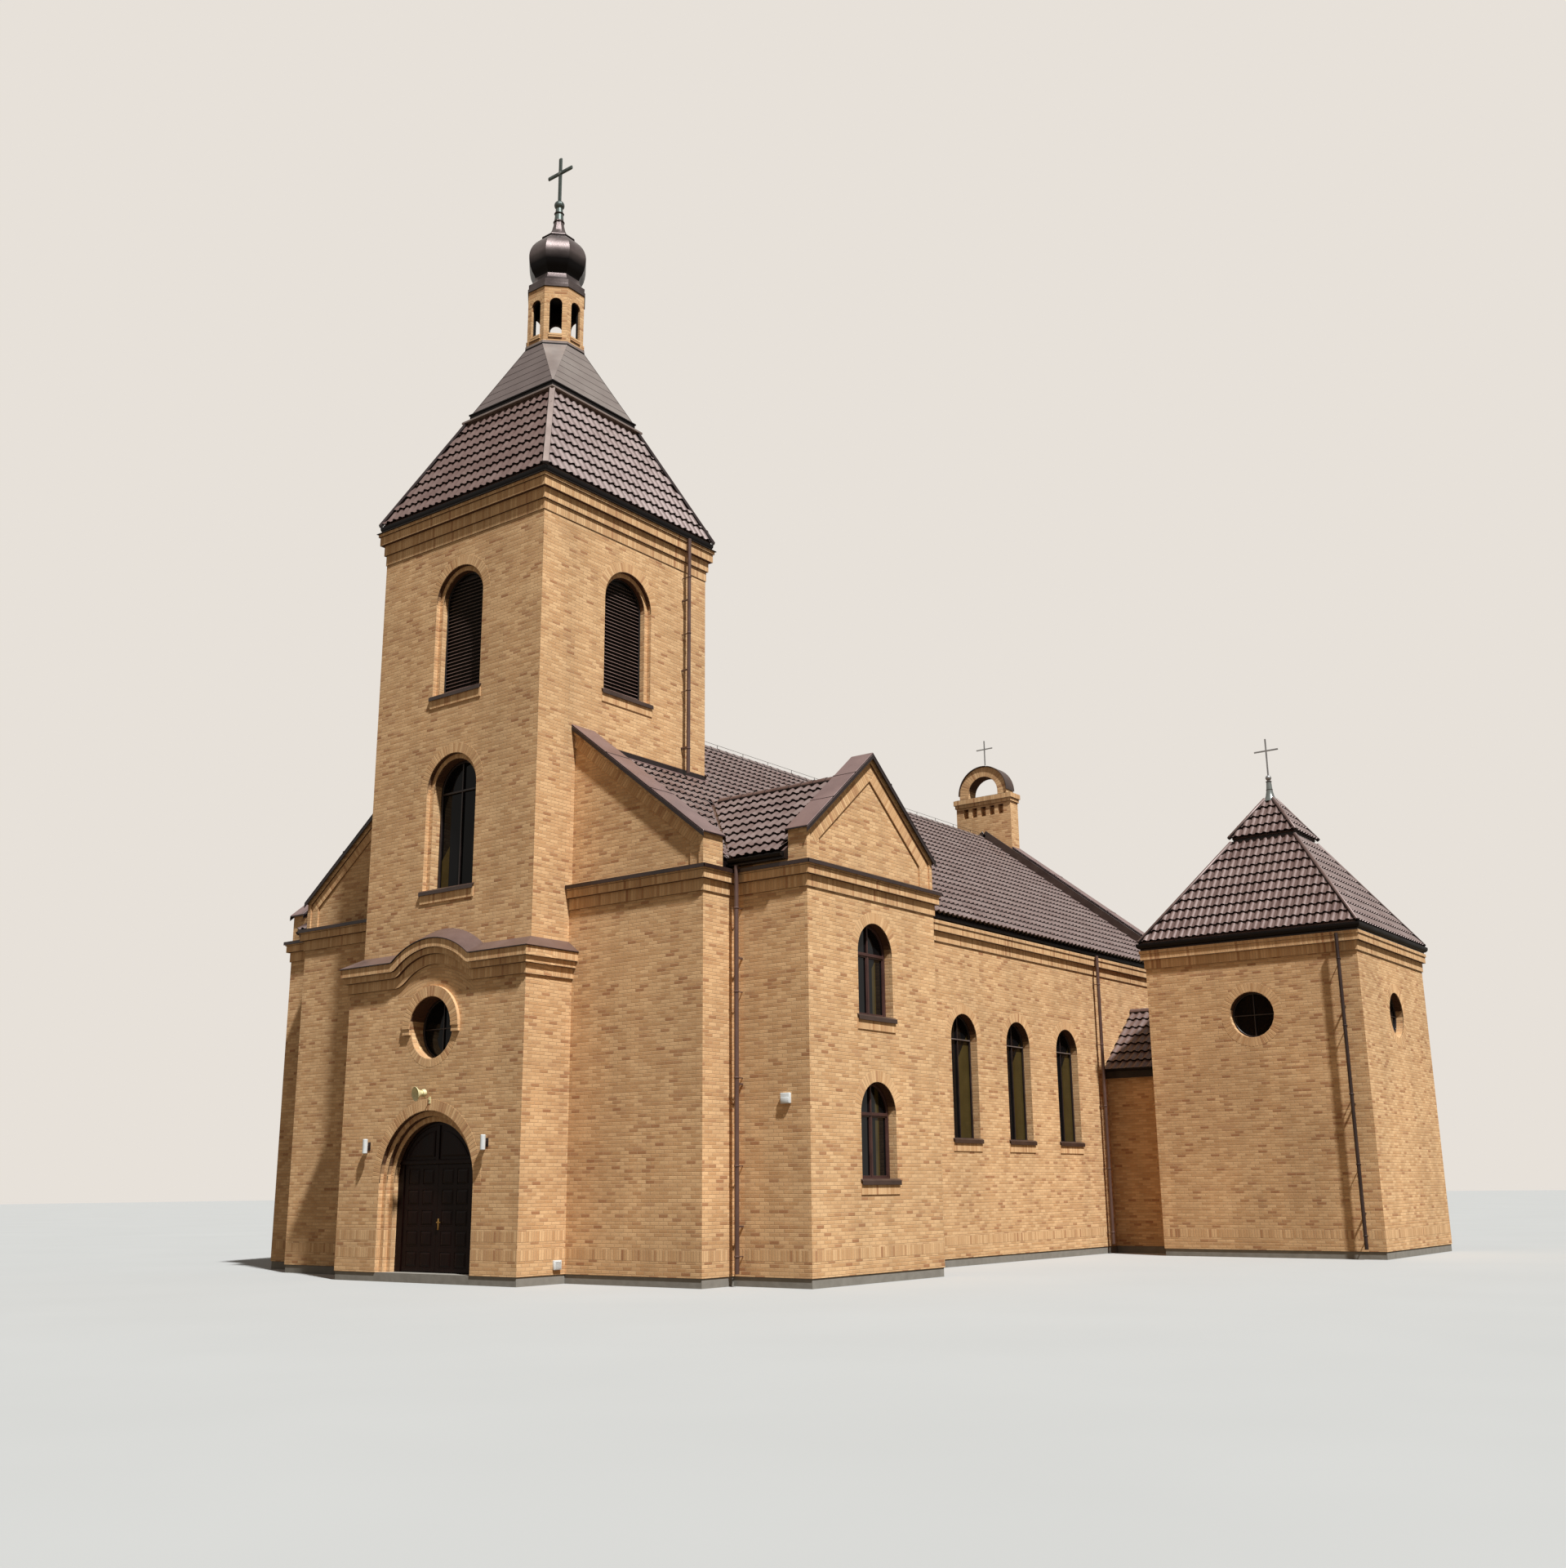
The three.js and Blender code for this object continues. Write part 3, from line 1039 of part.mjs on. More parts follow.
const sideTower = new THREE.Group();
sideTower.position.set(SIDE_MIDDLE_X, SIDE_MIDDLE_Y, 0);
church.add(sideTower);
put(sideTower, 'side_tower_walls', sideTowerWalls(), brick);
put(sideTower, 'side_tower_roof', sideTowerRoof(), tile);
put(sideTower, 'side_tower_cross', crossFinial({
  foot: SIDE_ROOF.apexZ + JOINT_GAP, neck: 14005, ballZ: 14080, ballRadius: 90, top: 15330, armZ: 14950,
  armHalf: 375, bar: 20, stemRadius: 60,
}), castIron);
put(sideTower, 'side_window_front', roundPane(SIDE_ROUND.radius), glass,
  0, -SIDE_HALF_Y + GLASS_DEPTH, SIDE_ROUND.height);
put(sideTower, 'side_window_back', roundPane(SIDE_ROUND.radius), glass,
  0, SIDE_HALF_Y - GLASS_DEPTH - GLASS, SIDE_ROUND.height);
put(sideTower, 'side_window_right', roundPane(SIDE_ROUND.radius), glass,
  SIDE_HALF_X - GLASS_DEPTH, 0, SIDE_ROUND.height, Math.PI / 2);
const sidePipeX = SIDE_HALF_X - 460;
put(sideTower, 'side_downpipe', drainpipe(sidePipeX, -SIDE_HALF_Y - PIPE_STAND, SIDE_TOWER.top - 60,
  [0, 1], PIPE_STAND), darkMetal);

const pipes = new THREE.Group();
church.add(pipes);
put(pipes, 'bell_cote_cross', crossFinial({
  foot: BELL_RING.centre + BELL_RING.outer + JOINT_GAP, neck: 17300, ballZ: 17330, ballRadius: 40,
  top: 18330, armZ: 18000, armHalf: 340, bar: 18, stemRadius: 30,
}), castIron, 0, (BELL_COTE.front + BELL_COTE.back) / 2);
put(pipes, 'tower_downpipe', drainpipe(TOWER_HALF + TOWER_PIPE_STAND, 5070, TOWER_TOP - 10, [-1, 0],
  TOWER_PIPE_STAND, TOWER_PIPE_FOOT), darkMetal);
const valleyPipe = drainpipe(NAVE_HALF + 250, BAY_FRONT - PIPE_STAND, BAY_EAVE_UNDERSIDE - 10,
  [0, 1], PIPE_STAND);
put(pipes, 'valley_downpipe_right', valleyPipe, darkMetal);
put(pipes, 'valley_downpipe_left', mirrored(valleyPipe), darkMetal);

export default church;
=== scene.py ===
# %% [markdown]
# # A brick church with an onion-domed tower
# This lesson dresses a finished CAD model of a church. The walls, roofs and openings are already there,
# true to size, so nothing here changes a dimension. What is added is what the eye looks for up close:
# bricks on end over the windows, rolls of roof tiles, gutters, metal caps, window bars and the doors.
# Loading the frame first gives every node as an object in metres, and a small helper gives the box of one
# node.

# %% Load the frame
import math
import bmesh
import bpy
from mathutils import Matrix, Vector


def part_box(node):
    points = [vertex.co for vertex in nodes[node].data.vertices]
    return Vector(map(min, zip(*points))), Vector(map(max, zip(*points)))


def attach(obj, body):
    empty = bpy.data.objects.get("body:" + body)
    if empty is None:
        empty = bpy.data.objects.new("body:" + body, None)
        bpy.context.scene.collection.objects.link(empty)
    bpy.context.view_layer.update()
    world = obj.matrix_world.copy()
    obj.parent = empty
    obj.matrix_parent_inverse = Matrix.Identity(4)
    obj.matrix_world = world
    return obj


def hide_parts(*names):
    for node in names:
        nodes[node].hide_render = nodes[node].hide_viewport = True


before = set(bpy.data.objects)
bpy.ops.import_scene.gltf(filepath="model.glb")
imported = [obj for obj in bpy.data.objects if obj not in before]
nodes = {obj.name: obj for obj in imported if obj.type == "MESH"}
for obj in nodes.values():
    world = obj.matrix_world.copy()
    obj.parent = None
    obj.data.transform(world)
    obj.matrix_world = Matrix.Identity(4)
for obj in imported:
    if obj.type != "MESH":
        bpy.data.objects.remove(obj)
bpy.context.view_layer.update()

# %% [markdown]
# ## The camera
# The picture was taken from the pavement, to the right of the doorway and a little below the porch
# windows, tilted up to take in the cross. A camera is a place, a direction and a lens, so it is set from
# a heading, a tilt and a slight roll. That is easier to correct than four columns of a matrix.

# %% Set the camera
HEADING, TILT, ROLL = 0.6457, 0.25182, -0.00979
ahead = Vector((-math.sin(HEADING) * math.cos(TILT), math.cos(HEADING) * math.cos(TILT), math.sin(TILT)))
level = Vector((math.cos(HEADING), math.sin(HEADING), 0))
above = level.cross(ahead)
side = math.cos(ROLL) * level + math.sin(ROLL) * above
top = math.cos(ROLL) * above - math.sin(ROLL) * level
camera_data = bpy.data.cameras.new("camera")
camera_data.lens = 35.93
camera_data.clip_end = 500
camera = bpy.data.objects.new("camera", camera_data)
bpy.context.scene.collection.objects.link(camera)
turn = Matrix((side, top, -ahead)).transposed().to_4x4()
camera.matrix_world = Matrix.Translation((28.328, -24.325, 1.996)) @ turn
bpy.context.scene.camera = camera
print("camera looks along", [round(v, 3) for v in ahead])

# %% [markdown]
# ## Helpers for a clean selection
# An operator works on everything that is selected, and the loaded nodes come in selected. So each piece
# starts by letting go of everything. In edit mode a part of the mesh is picked by where it lies, which a
# small test on each face or corner does well.

# %% Helpers for selection and edit mode
def let_go():
    if bpy.context.object and bpy.context.object.mode != "OBJECT":
        bpy.ops.object.mode_set(mode="OBJECT")
    bpy.ops.object.select_all(action="DESELECT")


def take(*pieces):
    let_go()
    for piece in pieces:
        piece.select_set(True)
    bpy.context.view_layer.objects.active = pieces[0]
    return pieces[0]


def edit(piece, kind="FACE"):
    take(piece)
    bpy.ops.object.mode_set(mode="EDIT")
    bpy.ops.mesh.select_mode(type=kind)
    bpy.ops.mesh.select_all(action="SELECT")


def done():
    bpy.ops.object.mode_set(mode="OBJECT")


def pick(test):
    mesh = bmesh.from_edit_mesh(bpy.context.object.data)
    mode = bpy.context.tool_settings.mesh_select_mode
    parts = mesh.verts if mode[0] else mesh.edges if mode[1] else mesh.faces
    for group in (mesh.verts, mesh.edges, mesh.faces):
        for part in group:
            part.select = False
    for part in parts:
        if test(part):
            part.select_set(True)
    if mode[0]:
        mesh.select_flush(True)
    bmesh.update_edit_mesh(bpy.context.object.data)


def soften(offset, segments=1):
    bpy.ops.mesh.bevel(offset=offset, segments=segments, affect="EDGES")


def turn_out():
    bpy.ops.mesh.select_all(action="SELECT")
    bpy.ops.mesh.normals_make_consistent(inside=False)


let_go()
print("nothing selected:", len(bpy.context.selected_objects) == 0)

# %% [markdown]
# ## Building materials from a few shared effects
# A finish here is a small chain of sums: where am I on the wall, which brick is that, how far is its
# edge. Writing the chain with one short function keeps each material readable. Effects that several
# finishes share become node groups with named sockets, so each finish only sets its own values.

# %% Helpers for shader nodes
def linear(red, green, blue):
    def channel(value):
        part = value / 255
        return part / 12.92 if part <= 0.04045 else ((part + 0.055) / 1.055) ** 2.4
    return channel(red), channel(green), channel(blue), 1.0


def feed(tree, socket, term):
    if isinstance(term, bpy.types.NodeSocket):
        tree.links.new(term, socket)
    else:
        socket.default_value = term


def calc(tree, operation, *terms):
    step = tree.nodes.new("ShaderNodeMath")
    step.operation = operation
    for socket, term in zip(step.inputs, terms):
        feed(tree, socket, term)
    return step.outputs[0]


def between(tree, factor, first, second, colour=False, kind="MIX"):
    step = tree.nodes.new("ShaderNodeMix")
    step.data_type = "RGBA" if colour else "FLOAT"
    step.clamp_factor = True
    if colour:
        step.blend_type = kind
    low = 6 if colour else 2
    feed(tree, step.inputs[0], factor)
    feed(tree, step.inputs[low], first)
    feed(tree, step.inputs[low + 1], second)
    return step.outputs[2 if colour else 0]


def remap(tree, value, low, high, out_low=0.0, out_high=1.0):
    step = tree.nodes.new("ShaderNodeMapRange")
    for socket, term in zip(step.inputs, (value, low, high, out_low, out_high)):
        feed(tree, socket, term)
    return step.outputs[0]


def noise(tree, scale, detail=2.0, vector=None, roughness=0.5):
    step = tree.nodes.new("ShaderNodeTexNoise")
    step.inputs["Scale"].default_value = scale
    step.inputs["Detail"].default_value = detail
    step.inputs["Roughness"].default_value = roughness
    if vector is None:
        vector = tree.nodes.new("ShaderNodeTexCoord").outputs["Object"]
    tree.links.new(vector, step.inputs["Vector"])
    return step.outputs[0]


def object_place(tree, scale=(1, 1, 1)):
    mapping = tree.nodes.new("ShaderNodeMapping")
    mapping.inputs["Scale"].default_value = scale
    tree.links.new(tree.nodes.new("ShaderNodeTexCoord").outputs["Object"], mapping.inputs[0])
    return mapping.outputs[0]


def split(tree, kind):
    parts = tree.nodes.new("ShaderNodeSeparateXYZ")
    tree.links.new(tree.nodes.new("ShaderNodeTexCoord").outputs[kind], parts.inputs[0])
    return parts.outputs


def new_group(name, takes, gives):
    tree = bpy.data.node_groups.new(name, "ShaderNodeTree")
    for label, kind in takes:
        tree.interface.new_socket(label, in_out="INPUT", socket_type="NodeSocket" + kind)
    for label, kind in gives:
        tree.interface.new_socket(label, in_out="OUTPUT", socket_type="NodeSocket" + kind)
    return tree, tree.nodes.new("NodeGroupInput").outputs, tree.nodes.new("NodeGroupOutput").inputs


def use_group(tree, group, **terms):
    step = tree.nodes.new("ShaderNodeGroup")
    step.node_tree = group
    for label, term in terms.items():
        feed(tree, step.inputs[label.replace("_", " ").capitalize()], term)
    return step.outputs


def finish_base(name, roughness, metallic=0.0, specular=0.5):
    material = bpy.data.materials.new(name)
    material.use_nodes = True
    shader = material.node_tree.nodes["Principled BSDF"]
    shader.inputs["Roughness"].default_value = roughness
    shader.inputs["Metallic"].default_value = metallic
    shader.inputs["Specular IOR Level"].default_value = specular
    return material, material.node_tree, shader.inputs


def bump(tree, sockets, height, distance):
    step = tree.nodes.new("ShaderNodeBump")
    step.inputs["Distance"].default_value = distance
    step.inputs["Strength"].default_value = 1.0
    tree.links.new(height, step.inputs["Height"])
    tree.links.new(step.outputs[0], sockets["Normal"])


def grainy_finish(name, roughness, specular, scale, detail, dark, pale, depth):
    material, tree, sockets = finish_base(name, roughness, specular=specular)
    grain = noise(tree, scale, detail)
    tree.links.new(between(tree, grain, linear(*dark), linear(*pale), colour=True), sockets["Base Color"])
    bump(tree, sockets, grain, depth)
    return material


# %% [markdown]
# ## Brickwork
# The church is faced with long buff bricks in running bond, 77 mm a course, with a light joint. Every
# cornice and the foot of the walls has bricks standing on end. The grid group finds the direction along
# a wall from its normal, and the brick group turns a place on that grid into a brick: its number gives
# its own colour, and the distance to its edge gives the joint. A standing course is the same brick group
# fed with the two directions swapped.

# %% Node group that finds the way along a wall
grid_group, _, gives = new_group("wall grid", [], [("Along", "Float"), ("Up", "Float")])
place = split(grid_group, "Object")
face_x, face_y, face_z = [calc(grid_group, "ABSOLUTE", part) for part in split(grid_group, "Normal")]
sideways = calc(grid_group, "GREATER_THAN", face_x, calc(grid_group, "ADD", face_y, 0.02))
flat = calc(grid_group, "GREATER_THAN", face_z, 0.7)
feed(grid_group, gives[0], between(grid_group, sideways, place[0], place[1]))
feed(grid_group, gives[1], between(grid_group, flat, place[2], place[1]))

# %% Node group for laid bricks
brick_group, takes, gives = new_group(
    "laid bricks",
    [("Along", "Float"), ("Up", "Float"), ("Length", "Float"), ("Course", "Float"), ("Shift", "Float"),
     ("Joint", "Float"), ("Pale", "Color"), ("Sandy", "Color"), ("Dark", "Color"), ("Mortar", "Color")],
    [("Color", "Color"), ("Height", "Float")])
rows = calc(brick_group, "DIVIDE", takes["Up"], takes["Course"])
row = calc(brick_group, "FLOOR", rows)
columns = calc(brick_group, "MULTIPLY_ADD", row, takes["Shift"],
               calc(brick_group, "DIVIDE", takes["Along"], takes["Length"]))
column = calc(brick_group, "FLOOR", columns)


def edge_distance(count, size):
    part = calc(brick_group, "FRACT", count)
    nearest = calc(brick_group, "MINIMUM", part, calc(brick_group, "SUBTRACT", 1.0, part))
    return calc(brick_group, "MULTIPLY", nearest, size)


edge = calc(brick_group, "MINIMUM", edge_distance(rows, takes["Course"]),
            edge_distance(columns, takes["Length"]))
number = brick_group.nodes.new("ShaderNodeCombineXYZ")
feed(brick_group, number.inputs[0], column)
feed(brick_group, number.inputs[1], row)
dice = brick_group.nodes.new("ShaderNodeTexWhiteNoise")
dice.noise_dimensions = "2D"
brick_group.links.new(number.outputs[0], dice.inputs["Vector"])
throws = brick_group.nodes.new("ShaderNodeSeparateColor")
brick_group.links.new(dice.outputs["Color"], throws.inputs[0])
body = remap(brick_group, edge, takes["Joint"], calc(brick_group, "ADD", takes["Joint"], 0.004))
tone = between(brick_group, throws.outputs[0], takes["Pale"], takes["Sandy"], colour=True)
rare = remap(brick_group, throws.outputs[1], 0.82, 1.0)
tone = between(brick_group, rare, tone, takes["Dark"], colour=True)
grain = noise(brick_group, 55.0, 3.0)
tone = between(brick_group, 1.0, tone, remap(brick_group, grain, 0.3, 0.7, 0.88, 1.1), True, "MULTIPLY")
feed(brick_group, gives["Color"], between(brick_group, body, takes["Mortar"], tone, colour=True))
uneven = calc(brick_group, "MULTIPLY", noise(brick_group, 7.0, 2.0), 0.3)
feed(brick_group, gives["Height"], calc(brick_group, "ADD", uneven,
                                        calc(brick_group, "MULTIPLY_ADD", grain, 0.15, body)))

# %% Node group for weather on a wall
weather_group, takes, gives = new_group(
    "wall weather", [("Color", "Color"), ("Strength", "Float")], [("Color", "Color")])
cloud = noise(weather_group, 0.35, 4.0, roughness=0.6)
streak = noise(weather_group, 1.0, 4.0, object_place(weather_group, (1.6, 1.6, 0.12)), 0.6)
shade = calc(weather_group, "MULTIPLY", remap(weather_group, cloud, 0.3, 0.7, 0.86, 1.08),
             remap(weather_group, streak, 0.25, 0.6, 0.88, 1.03))
shade = between(weather_group, takes["Strength"], 1.0, shade)
feed(weather_group, gives[0], between(weather_group, 1.0, takes["Color"], shade, True, "MULTIPLY"))

# %% [markdown]
# Sun never reaches the underside of an arch or a cornice, so one more group paints shade there: it darkens
# whatever faces down. It looks at the height of the normal, so it also paints shade on the lips of tiles
# and the slats, which are dark on their lower edges, and on the edges of caps and the foot of the dome.

# %% Node group for painted shade on undersides
under_group, takes, gives = new_group(
    "painted underside shade", [("Color", "Color"), ("Under", "Color"), ("Low", "Float"), ("High", "Float")],
    [("Color", "Color")])
upward = remap(under_group, split(under_group, "Normal")[2], takes["Low"], takes["High"])
feed(under_group, gives[0], between(under_group, upward, takes["Under"], takes["Color"], colour=True))
# painted shade colour for faces that point down
UNDERSIDE_SHADE = linear(84, 56, 40)

# %% Brick finishes
BRICK, COURSE = 0.25, 0.077
TOWER_MIDDLE = (0, 3.005)
PALE = linear(226, 184, 136)
SANDY = linear(198, 152, 106)
DARK = linear(172, 122, 84)
MORTAR = linear(206, 168, 126)
FOOT_BANDS = [(0.51, 0.741)]
PORCH_FOOT = [(0.51, 0.741), (0.895, 1.126)]
PORCH_BANDS = [(6.61, 6.85), (6.85, 7.0), (7.0, 7.2)]
EAVES_BANDS = [(8.205, 8.47), (8.47, 8.655), (8.655, 8.745)]
TOWER_BANDS = [(17.82, 18.09), (18.09, 18.37), (18.37, 18.605), (18.605, 18.69)]
SIDE_BANDS = [(8.11, 8.375), (8.375, 8.56), (8.56, 8.65)]
EYEBROW_HALF, EYEBROW_RISE = 1.37, 0.47
EYEBROW_RADIUS = (EYEBROW_HALF ** 2 + EYEBROW_RISE ** 2) / (2 * EYEBROW_RISE)


def brick_finish(name, bands, eyebrow=False, inside_shade=0.0):
    material, tree, sockets = finish_base(name, 0.92, specular=0.25)
    grid = use_group(tree, grid_group)
    along, up = grid["Along"], grid["Up"]
    if eyebrow:
        square = calc(tree, "MULTIPLY", along, along)
        drop = calc(tree, "SQRT", calc(tree, "MAXIMUM", 0.0, calc(
            tree, "SUBTRACT", EYEBROW_RADIUS ** 2, square)))
        rise = calc(tree, "MAXIMUM", 0.0, calc(tree, "SUBTRACT", drop, EYEBROW_RADIUS - EYEBROW_RISE))
        high = calc(tree, "GREATER_THAN", up, 6.4)
        up = calc(tree, "SUBTRACT", up, calc(tree, "MULTIPLY", rise, high))
    course_along, course_up, length, shift = along, up, BRICK, 0.5
    for low, high in bands:
        inside = calc(tree, "MULTIPLY", calc(tree, "GREATER_THAN", up, low),
                      calc(tree, "LESS_THAN", up, high))
        course_along = between(tree, inside, course_along, calc(tree, "SUBTRACT", up, low))
        course_up = between(tree, inside, course_up, along)
        length = between(tree, inside, length, high - low)
        shift = between(tree, inside, shift, 0.0)
    bricks = use_group(tree, brick_group, along=course_along, up=course_up, length=length,
                       course=COURSE, shift=shift, joint=0.0045, pale=PALE, sandy=SANDY,
                       dark=DARK, mortar=MORTAR)
    worn = use_group(tree, weather_group, color=bricks["Color"], strength=1.0)
    # painted shade on the faces of the bricks that point down
    shaded_colour = use_group(tree, under_group, color=worn[0], under=UNDERSIDE_SHADE, low=-0.35, high=-0.05)[0]
    # painted shade: inside the lantern, within this reach of the tower's middle, the bricks are nearly black
    if inside_shade:
        place = split(tree, "Object")
        back = calc(tree, "SUBTRACT", place[1], TOWER_MIDDLE[1])
        reach = calc(tree, "SQRT", calc(tree, "MULTIPLY_ADD", back, back,
                                        calc(tree, "MULTIPLY", place[0], place[0])))
        outside = remap(tree, reach, inside_shade - 0.02, inside_shade + 0.02)
        shaded_colour = between(tree, outside, linear(14, 9, 7), shaded_colour, colour=True)
    tree.links.new(shaded_colour, sockets["Base Color"])
    bump(tree, sockets, bricks["Height"], 0.006)
    return material


brick_tower = brick_finish("brick_tower", PORCH_FOOT + PORCH_BANDS + TOWER_BANDS)
brick_porch = brick_finish("brick_porch", PORCH_FOOT + PORCH_BANDS, eyebrow=True)
brick_nave = brick_finish("brick_nave", FOOT_BANDS + EAVES_BANDS)
brick_side = brick_finish("brick_side", FOOT_BANDS + SIDE_BANDS)
brick_plain = brick_finish("brick_plain", [])
brick_cote = brick_finish("brick_cote", [(15.77, 15.9), (15.9, 16.08)])
brick_lantern = brick_finish("brick_lantern", [], inside_shade=0.71)
print("brick finishes:", 7)

# %% [markdown]
# ## Single bricks
# Over the arches every brick is a solid of its own. Their finish can't count courses, so it asks for the
# number of the loose part it is on, and each brick of a ring gets its own tone. Behind them lies a thin
# sheet of mortar with a sandy grain.

# %% Finish for loose bricks and mortar
loose_brick, tree, sockets = finish_base("loose_brick", 0.92, specular=0.25)
island = tree.nodes.new("ShaderNodeNewGeometry").outputs["Random Per Island"]
spread = calc(tree, "FRACT", calc(tree, "MULTIPLY", island, 37.0))
tone = between(tree, island, PALE, SANDY, colour=True)
tone = between(tree, remap(tree, spread, 0.80, 1.05), tone, DARK, colour=True)
grain = noise(tree, 55.0, 3.0)
tone = between(tree, 1.0, tone, remap(tree, grain, 0.3, 0.7, 0.88, 1.1), True, "MULTIPLY")
worn = use_group(tree, weather_group, color=tone, strength=0.7)
# painted shade on the faces of the bricks that point down
shaded_colour = use_group(tree, under_group, color=worn[0], under=UNDERSIDE_SHADE, low=-0.35, high=-0.05)
tree.links.new(shaded_colour[0], sockets["Base Color"])
bump(tree, sockets, grain, 0.002)

mortar = grainy_finish("mortar", 0.95, 0.2, 120.0, 4.0, (192, 153, 112), (214, 174, 130), 0.002)
print("single bricks:", loose_brick.name, "on", mortar.name)

# %% [markdown]
# ## Metal finishes
# Roof tiles, caps, gutters and the dome are coated sheet metal. What tells coated metal from plastic is
# its uneven gloss: rain leaves paler, duller runs and the coat is worn along the edges. One group mixes
# two tones of the coat and gives a roughness that moves with them.

# %% Node group for weathered sheet metal
metal_group, takes, gives = new_group(
    "weathered metal",
    [("Coat", "Color"), ("Dull", "Color"), ("Scale", "Float"), ("Smooth", "Float"), ("Rough", "Float")],
    [("Color", "Color"), ("Roughness", "Float"), ("Height", "Float")])
patches = metal_group.nodes.new("ShaderNodeTexNoise")
patches.inputs["Detail"].default_value = 5.0
patches.inputs["Roughness"].default_value = 0.62
metal_group.links.new(object_place(metal_group), patches.inputs["Vector"])
metal_group.links.new(takes["Scale"], patches.inputs["Scale"])
wear = remap(metal_group, patches.outputs[0], 0.35, 0.68)
fine = noise(metal_group, 40.0, 3.0)
feed(metal_group, gives["Color"], between(metal_group, wear, takes["Coat"], takes["Dull"], colour=True))
feed(metal_group, gives["Roughness"], between(
    metal_group, calc(metal_group, "MULTIPLY_ADD", fine, 0.3, calc(metal_group, "MULTIPLY", wear, 0.7)),
    takes["Smooth"], takes["Rough"]))
feed(metal_group, gives["Height"], fine)


def metal_finish(name, coat, dull, smooth, rough, scale=0.8, metallic=0.0, specular=0.5, under=None,
                 low=0.02, high=0.14, shaded=None, turn=(-0.6, -0.3)):
    material, tree, sockets = finish_base(name, rough, metallic, specular)
    parts = use_group(tree, metal_group, coat=linear(*coat), dull=linear(*dull), scale=scale,
                      smooth=smooth, rough=rough)
    colour = parts["Color"]
    # painted shade: faces turned to the front, which the sun only grazes, are darkened by the shaded colour;
    # tile_metal and roof_sheet use it
    if shaded:
        unshaded_side = remap(tree, split(tree, "Normal")[1], *turn)
        front_shade = between(tree, 1.0, colour, linear(*shaded), True, "MULTIPLY")
        colour = between(tree, unshaded_side, front_shade, colour, True)
    # painted shade: faces whose normal points level or down take the under colour; it gives the dark lips of
    # tiles, the dark edges of caps, hips and flashing, the dark lower edges of slats and the dark foot of the
    # dome's bulge
    if under:
        colour = use_group(tree, under_group, color=colour, under=linear(*under), low=low, high=high)[0]
    tree.links.new(colour, sockets["Base Color"])
    tree.links.new(parts["Roughness"], sockets["Roughness"])
    bump(tree, sockets, parts["Height"], 0.0015)
    return material


tile_metal = metal_finish("tile_metal", (116, 98, 93), (136, 121, 116), 0.34, 0.48, 1.6, 0.15, 0.4,
                          (22, 13, 12), shaded=(214, 196, 190))
hip_metal = metal_finish("hip_metal", (130, 112, 105), (150, 132, 124), 0.30, 0.46, 1.2, 0.15, 0.5,
                         (40, 26, 24))
edge_metal = metal_finish("edge_metal", (128, 112, 105), (146, 130, 122), 0.30, 0.46, 1.2, 0.15)
flashing_metal = metal_finish("flashing_metal", (96, 76, 70), (112, 90, 83), 0.30, 0.46, 1.2, 0.15, 0.5,
                              (34, 21, 20))
cap_metal = metal_finish("cap_metal", (108, 83, 79), (126, 101, 96), 0.30, 0.46, 1.2, 0.15, 0.5, (34, 21, 20))
gutter_metal = metal_finish("gutter_metal", (9, 6, 6), (17, 11, 10), 0.45, 0.6, specular=0.2)
roof_sheet = metal_finish("roof_sheet", (134, 121, 115), (150, 139, 132), 0.30, 0.42, 0.8, 0.4, 0.5,
                          (26, 16, 15), shaded=(205, 196, 198), turn=(-0.88, -0.7))
dome_metal = metal_finish("dome_metal", (98, 86, 84), (120, 108, 105), 0.26, 0.38, 1.5, 0.8, 0.5,
                          (16, 12, 12), -0.22, 0.06)
cross_metal = metal_finish("cross_metal", (170, 168, 166), (140, 138, 136), 0.3, 0.5, 3.0, 0.7)
dark_cross = metal_finish("dark_cross", (74, 82, 78), (100, 108, 102), 0.3, 0.5, 3.0, 0.5)
frame_paint = metal_finish("frame_paint", (56, 31, 27), (74, 44, 37), 0.4, 0.6, 2.0)
louvre_paint = metal_finish("louvre_paint", (104, 80, 72), (126, 100, 90), 0.4, 0.6, 2.0, 0.0, 0.5,
                            (14, 9, 8))
# painted shade: near black for the unlit inside of the belfry
louvre_shade = metal_finish("louvre_shade", (16, 11, 10), (24, 17, 15), 0.6, 0.8, 2.0)
ball_metal = metal_finish("ball_metal", (120, 126, 122), (150, 154, 150), 0.14, 0.3, 2.0, 0.8)
brass = metal_finish("brass", (176, 138, 78), (150, 112, 60), 0.22, 0.4, 4.0, 0.9)
white_plastic = metal_finish("white_plastic", (214, 216, 214), (196, 198, 196), 0.35, 0.5, 5.0)
cream_plastic = metal_finish("cream_plastic", (226, 216, 168), (206, 196, 150), 0.35, 0.5, 5.0)
dark_paint = metal_finish("dark_paint", (30, 20, 18), (44, 31, 28), 0.35, 0.5, 3.0)
grey_paint = metal_finish("grey_paint", (118, 104, 98), (98, 86, 80), 0.35, 0.5, 3.0)
sill_metal = metal_finish("sill_metal", (56, 40, 34), (72, 54, 46), 0.3, 0.46, 2.0)
pipe_metal = metal_finish("pipe_metal", (78, 56, 49), (96, 72, 64), 0.26, 0.44, 1.2)
dark_pipe = metal_finish("dark_pipe", (40, 26, 22), (56, 39, 34), 0.3, 0.44, 1.2)
print("metal finishes:", 22)
